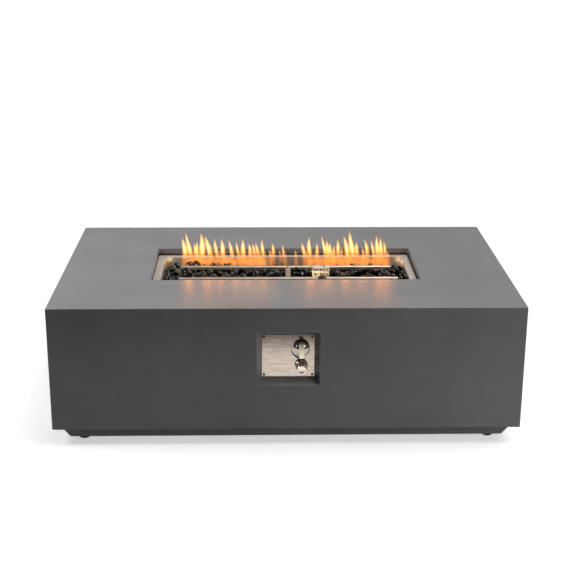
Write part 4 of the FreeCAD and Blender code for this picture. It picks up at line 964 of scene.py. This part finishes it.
def make_flame_haze():
    """The low curtains of orange, whose height waves and fades out towards both ends."""
    tube_y, tube_top = rear_tube()
    y = tube_y + haze_behind_tube
    base_z = tube_top - haze_foot_drop
    material = flame_material("flame_haze", "#f4a45c", "#f6ac64", 28, 19, 32, 0.35)
    for number, (start, end) in enumerate(flame_curtains_mm):
        shape = bmesh.new()
        rings = []
        count = int((end - start) / haze_step_mm)
        for step in range(count + 1):
            x = start + (end - start) * step / count
            from_end = min(x - start, end - x) + haze_end_mm
            edge = min(1.0, from_end / haze_fade_mm)
            wave = sum(rise * math.sin(x / length) for rise, length in haze_waves_mm)
            height = (haze_height_mm + wave) * mm * edge ** 0.5
            points = []
            for side in range(haze_sides):
                angle = math.tau * side / haze_sides
                points.append(shape.verts.new((x * mm, y + haze_half_depth * edge * math.cos(angle),
                                               base_z + height / 2 * (1 + math.sin(angle)))))
            rings.append(points)
        join_rings(shape, rings)
        shape.faces.new(rings[0])
        shape.faces.new(list(reversed(rings[-1])))
        stage_flame(f"flame_haze_{number}", shape, material)


# Floor, lights and camera


def seen_rays(tree):
    """1 for what the camera sees, also by way of gloss or glass."""
    path = add(tree, "ShaderNodeLightPath").outputs
    seen = add(tree, "ShaderNodeMath", {0: path["Is Camera Ray"], 1: path["Is Glossy Ray"]},
               operation="MAXIMUM")
    return add(tree, "ShaderNodeMath", {0: seen.outputs[0], 1: path["Is Transmission Ray"]},
               operation="MAXIMUM").outputs[0]


def make_floor():
    """A pale floor. Its white is for what the camera sees, and its light on the table stays plain."""
    shape = bmesh.new()
    bmesh.ops.create_grid(shape, x_segments=1, y_segments=1, size=floor_reach)
    floor = shape_object("floor", shape)
    material, tree, place = start_material("studio_floor")
    seen = seen_rays(tree)
    forward = add(tree, "ShaderNodeSeparateXYZ", {"Vector": place}).outputs["Y"]
    sheet = add(tree, "ShaderNodeMapRange", {"Value": forward, "From Min": sheet_fade_y[0],
                                             "From Max": sheet_fade_y[1], "To Min": sheet_end_gloss})
    camera_sees = add(tree, "ShaderNodeLightPath").outputs["Is Camera Ray"]
    shown = add(tree, "ShaderNodeMath", {0: sheet.outputs[0], 1: camera_sees}, operation="MAXIMUM")
    white = add(tree, "ShaderNodeMath", {0: seen, 1: shown.outputs[0]}, operation="MULTIPLY")
    lift = add(tree, "ShaderNodeMath", {0: white.outputs[0], 1: floor_lift}, operation="MULTIPLY")
    shade = add(tree, "ShaderNodeMix", {"Factor": white.outputs[0], 6: linear(floor_shade),
                                        7: linear(floor_white)}, data_type="RGBA")
    matt = add(tree, "ShaderNodeBsdfDiffuse", {"Color": shade.outputs[2]})
    light = add(tree, "ShaderNodeEmission", {"Color": linear("#ffffff"), "Strength": lift.outputs[0]})
    shader = add(tree, "ShaderNodeAddShader", {0: matt.outputs[0], 1: light.outputs[0]})
    add(tree, "ShaderNodeOutputMaterial", {"Surface": shader.outputs[0]})
    floor.data.materials.append(material)


def make_world():
    """White all round for the camera. In gloss it is pale behind the table and dark overhead and behind the
    camera, as in a studio with a pale backdrop."""
    world = bpy.data.worlds.new("studio")
    bpy.context.scene.world = world
    world.use_nodes = True
    tree = world.node_tree
    tree.nodes.clear()
    way = add(tree, "ShaderNodeTexCoord").outputs["Generated"]
    sides = add(tree, "ShaderNodeSeparateXYZ", {"Vector": way}).outputs
    low_down = add(tree, "ShaderNodeMapRange", {"Value": sides["Z"], "From Min": 0.35, "From Max": 0.75,
                                                "To Min": backdrop_gloss, "To Max": 0.0})
    behind = add(tree, "ShaderNodeMapRange", {"Value": sides["Y"], "From Min": -0.1, "From Max": 0.4})
    lit = add(tree, "ShaderNodeMath", {0: low_down.outputs[0], 1: behind.outputs[0]}, operation="MULTIPLY")
    backdrop = add(tree, "ShaderNodeMath", {0: lit.outputs[0], 1: ceiling_gloss}, operation="ADD")
    path = add(tree, "ShaderNodeLightPath").outputs
    around = add(tree, "ShaderNodeMapRange", {"Value": seen_rays(tree), "To Min": room_fill})
    glossy = add(tree, "ShaderNodeMix", {0: path["Is Glossy Ray"], 2: around.outputs[0],
                                         3: backdrop.outputs[0]})
    sky = add(tree, "ShaderNodeBackground", {"Color": linear("#ffffff"), "Strength": glossy.outputs[0]})
    add(tree, "ShaderNodeOutputWorld", {"Surface": sky.outputs[0]})


def area_lamp(name, place, aim, width, depth, power, colour="#ffffff"):
    """A rectangular lamp that the camera doesn't see."""
    data = bpy.data.lights.new(name, "AREA")
    data.shape = "RECTANGLE"
    data.size = width
    data.size_y = depth
    data.energy = power
    data.color = linear(colour)[:3]
    lamp = scene_object(name, data)
    lamp.location = place
    lamp.rotation_euler = (Vector(aim) - Vector(place)).to_track_quat("-Z", "Y").to_euler()
    lamp.visible_camera = False
    return lamp


def point_lamp(name, place, radius, power, colour):
    """A small round lamp that the camera doesn't see."""
    data = bpy.data.lights.new(name, "POINT")
    data.energy = power
    data.color = linear(colour)[:3]
    data.shadow_soft_size = radius
    lamp = scene_object(name, data)
    lamp.location = place
    lamp.visible_camera = False
    return lamp


def make_overhead():
    """One wide soft light from above, as two suns: one for matt surfaces and one for gloss."""
    for name, power in overhead_powers:
        data = bpy.data.lights.new(name, "SUN")
        data.energy = power
        data.angle = overhead_angle
        overhead = scene_object(name, data)
        overhead.rotation_euler = Vector(overhead_from).to_track_quat("Z", "Y").to_euler()
        overhead.visible_glossy = name == "overhead_gloss"
        overhead.visible_diffuse = name == "overhead_light"


def make_softboxes():
    """Soft light on the front from the right, with no highlight, and on the top from the left."""
    right = area_lamp("right_softbox", (1.25, -1.5, 0.6), (0.6, -0.4, 0.2), 0.6, 0.8, 6)
    right.visible_glossy = False
    area_lamp("left_softbox", (-1.7, -0.38, 1.4), (-0.2, -0.1, 0.39), 0.7, 0.7, 14)


def make_sparkles():
    """The small lamps that show only as highlights."""
    for name, place, size, power in sparkle_lamps:
        sparkle = area_lamp(name, place, sparkle_aim, size, size, power)
        sparkle.visible_diffuse = False


def make_guard_light():
    """A narrow beam for the guard alone, whose holes show dark against its bright sheet."""
    low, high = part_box("igniter_guard")
    face = Vector(((low.x + high.x) / 2, low.y, high.z - guard_lamp_below_top))
    beam = area_lamp("guard_light", guard_lamp_place, face, guard_lamp_size, guard_lamp_size,
                     guard_lamp_power, "#ffdcb8")
    beam.data.spread = guard_lamp_spread
    beam.visible_diffuse = False
    alone = bpy.data.collections.new("guard_alone")
    alone.objects.link(nodes["igniter_guard"])
    beam.light_linking.receiver_collection = alone


def make_corner_glints():
    """The end flames' glints in the pan's back corners."""
    for name, place in corner_glints:
        point_lamp(name, place, glint_radius, glint_power, "#ffe2b0")


def make_flame_glows():
    """The flames' light: a tall narrow lamp that shows in the table's top, and a small one low down."""
    y = rear_tube()[0] + flame_behind_tube
    for number, (x, share) in enumerate(flame_glows):
        place = (x, y - front_glow_forward, table_top_z + front_glow_up)
        aim = (x, y - 1, table_top_z - front_glow_aim_drop)
        front = area_lamp(f"flame_front_{number}", place, aim, front_glow_width, front_glow_height,
                          front_glow_power * share, "#ff9428")
        front.visible_diffuse = False
        front.data.spread = front_glow_spread
        low = point_lamp(f"flame_low_{number}", (x, y + low_glow_back, table_top_z + low_glow_up),
                         low_glow_radius, low_glow_power * share, "#ff9a4a")
        low.visible_glossy = False


def make_camera():
    """The camera at the photograph's viewing angle."""
    data = bpy.data.cameras.new("camera")
    data.sensor_width = sensor_width_mm
    data.lens = focal_px / frame_px * sensor_width_mm
    data.clip_end = 100
    camera = scene_object("camera", data)
    forward = Vector((math.sin(camera_yaw) * math.cos(camera_pitch),
                      math.cos(camera_yaw) * math.cos(camera_pitch), -math.sin(camera_pitch)))
    level = Vector((math.cos(camera_yaw), -math.sin(camera_yaw), 0))
    upright = level.cross(forward)
    right = math.cos(camera_roll) * level + math.sin(camera_roll) * upright
    up = math.cos(camera_roll) * upright - math.sin(camera_roll) * level
    turn = Matrix((right, up, -forward)).transposed()
    camera.matrix_world = Matrix.Translation(camera_place) @ turn.to_4x4()
    bpy.context.scene.camera = camera


bpy.context.scene.view_settings.view_transform = "Standard"
make_camera()
make_world()
make_overhead()
make_softboxes()
make_sparkles()
make_guard_light()
make_corner_glints()
make_flame_glows()
make_floor()
dress_cad_nodes()
make_stones()
make_knob()
make_bezel()
make_button()
make_springs()
make_mark()
make_flames()
make_flame_haze()
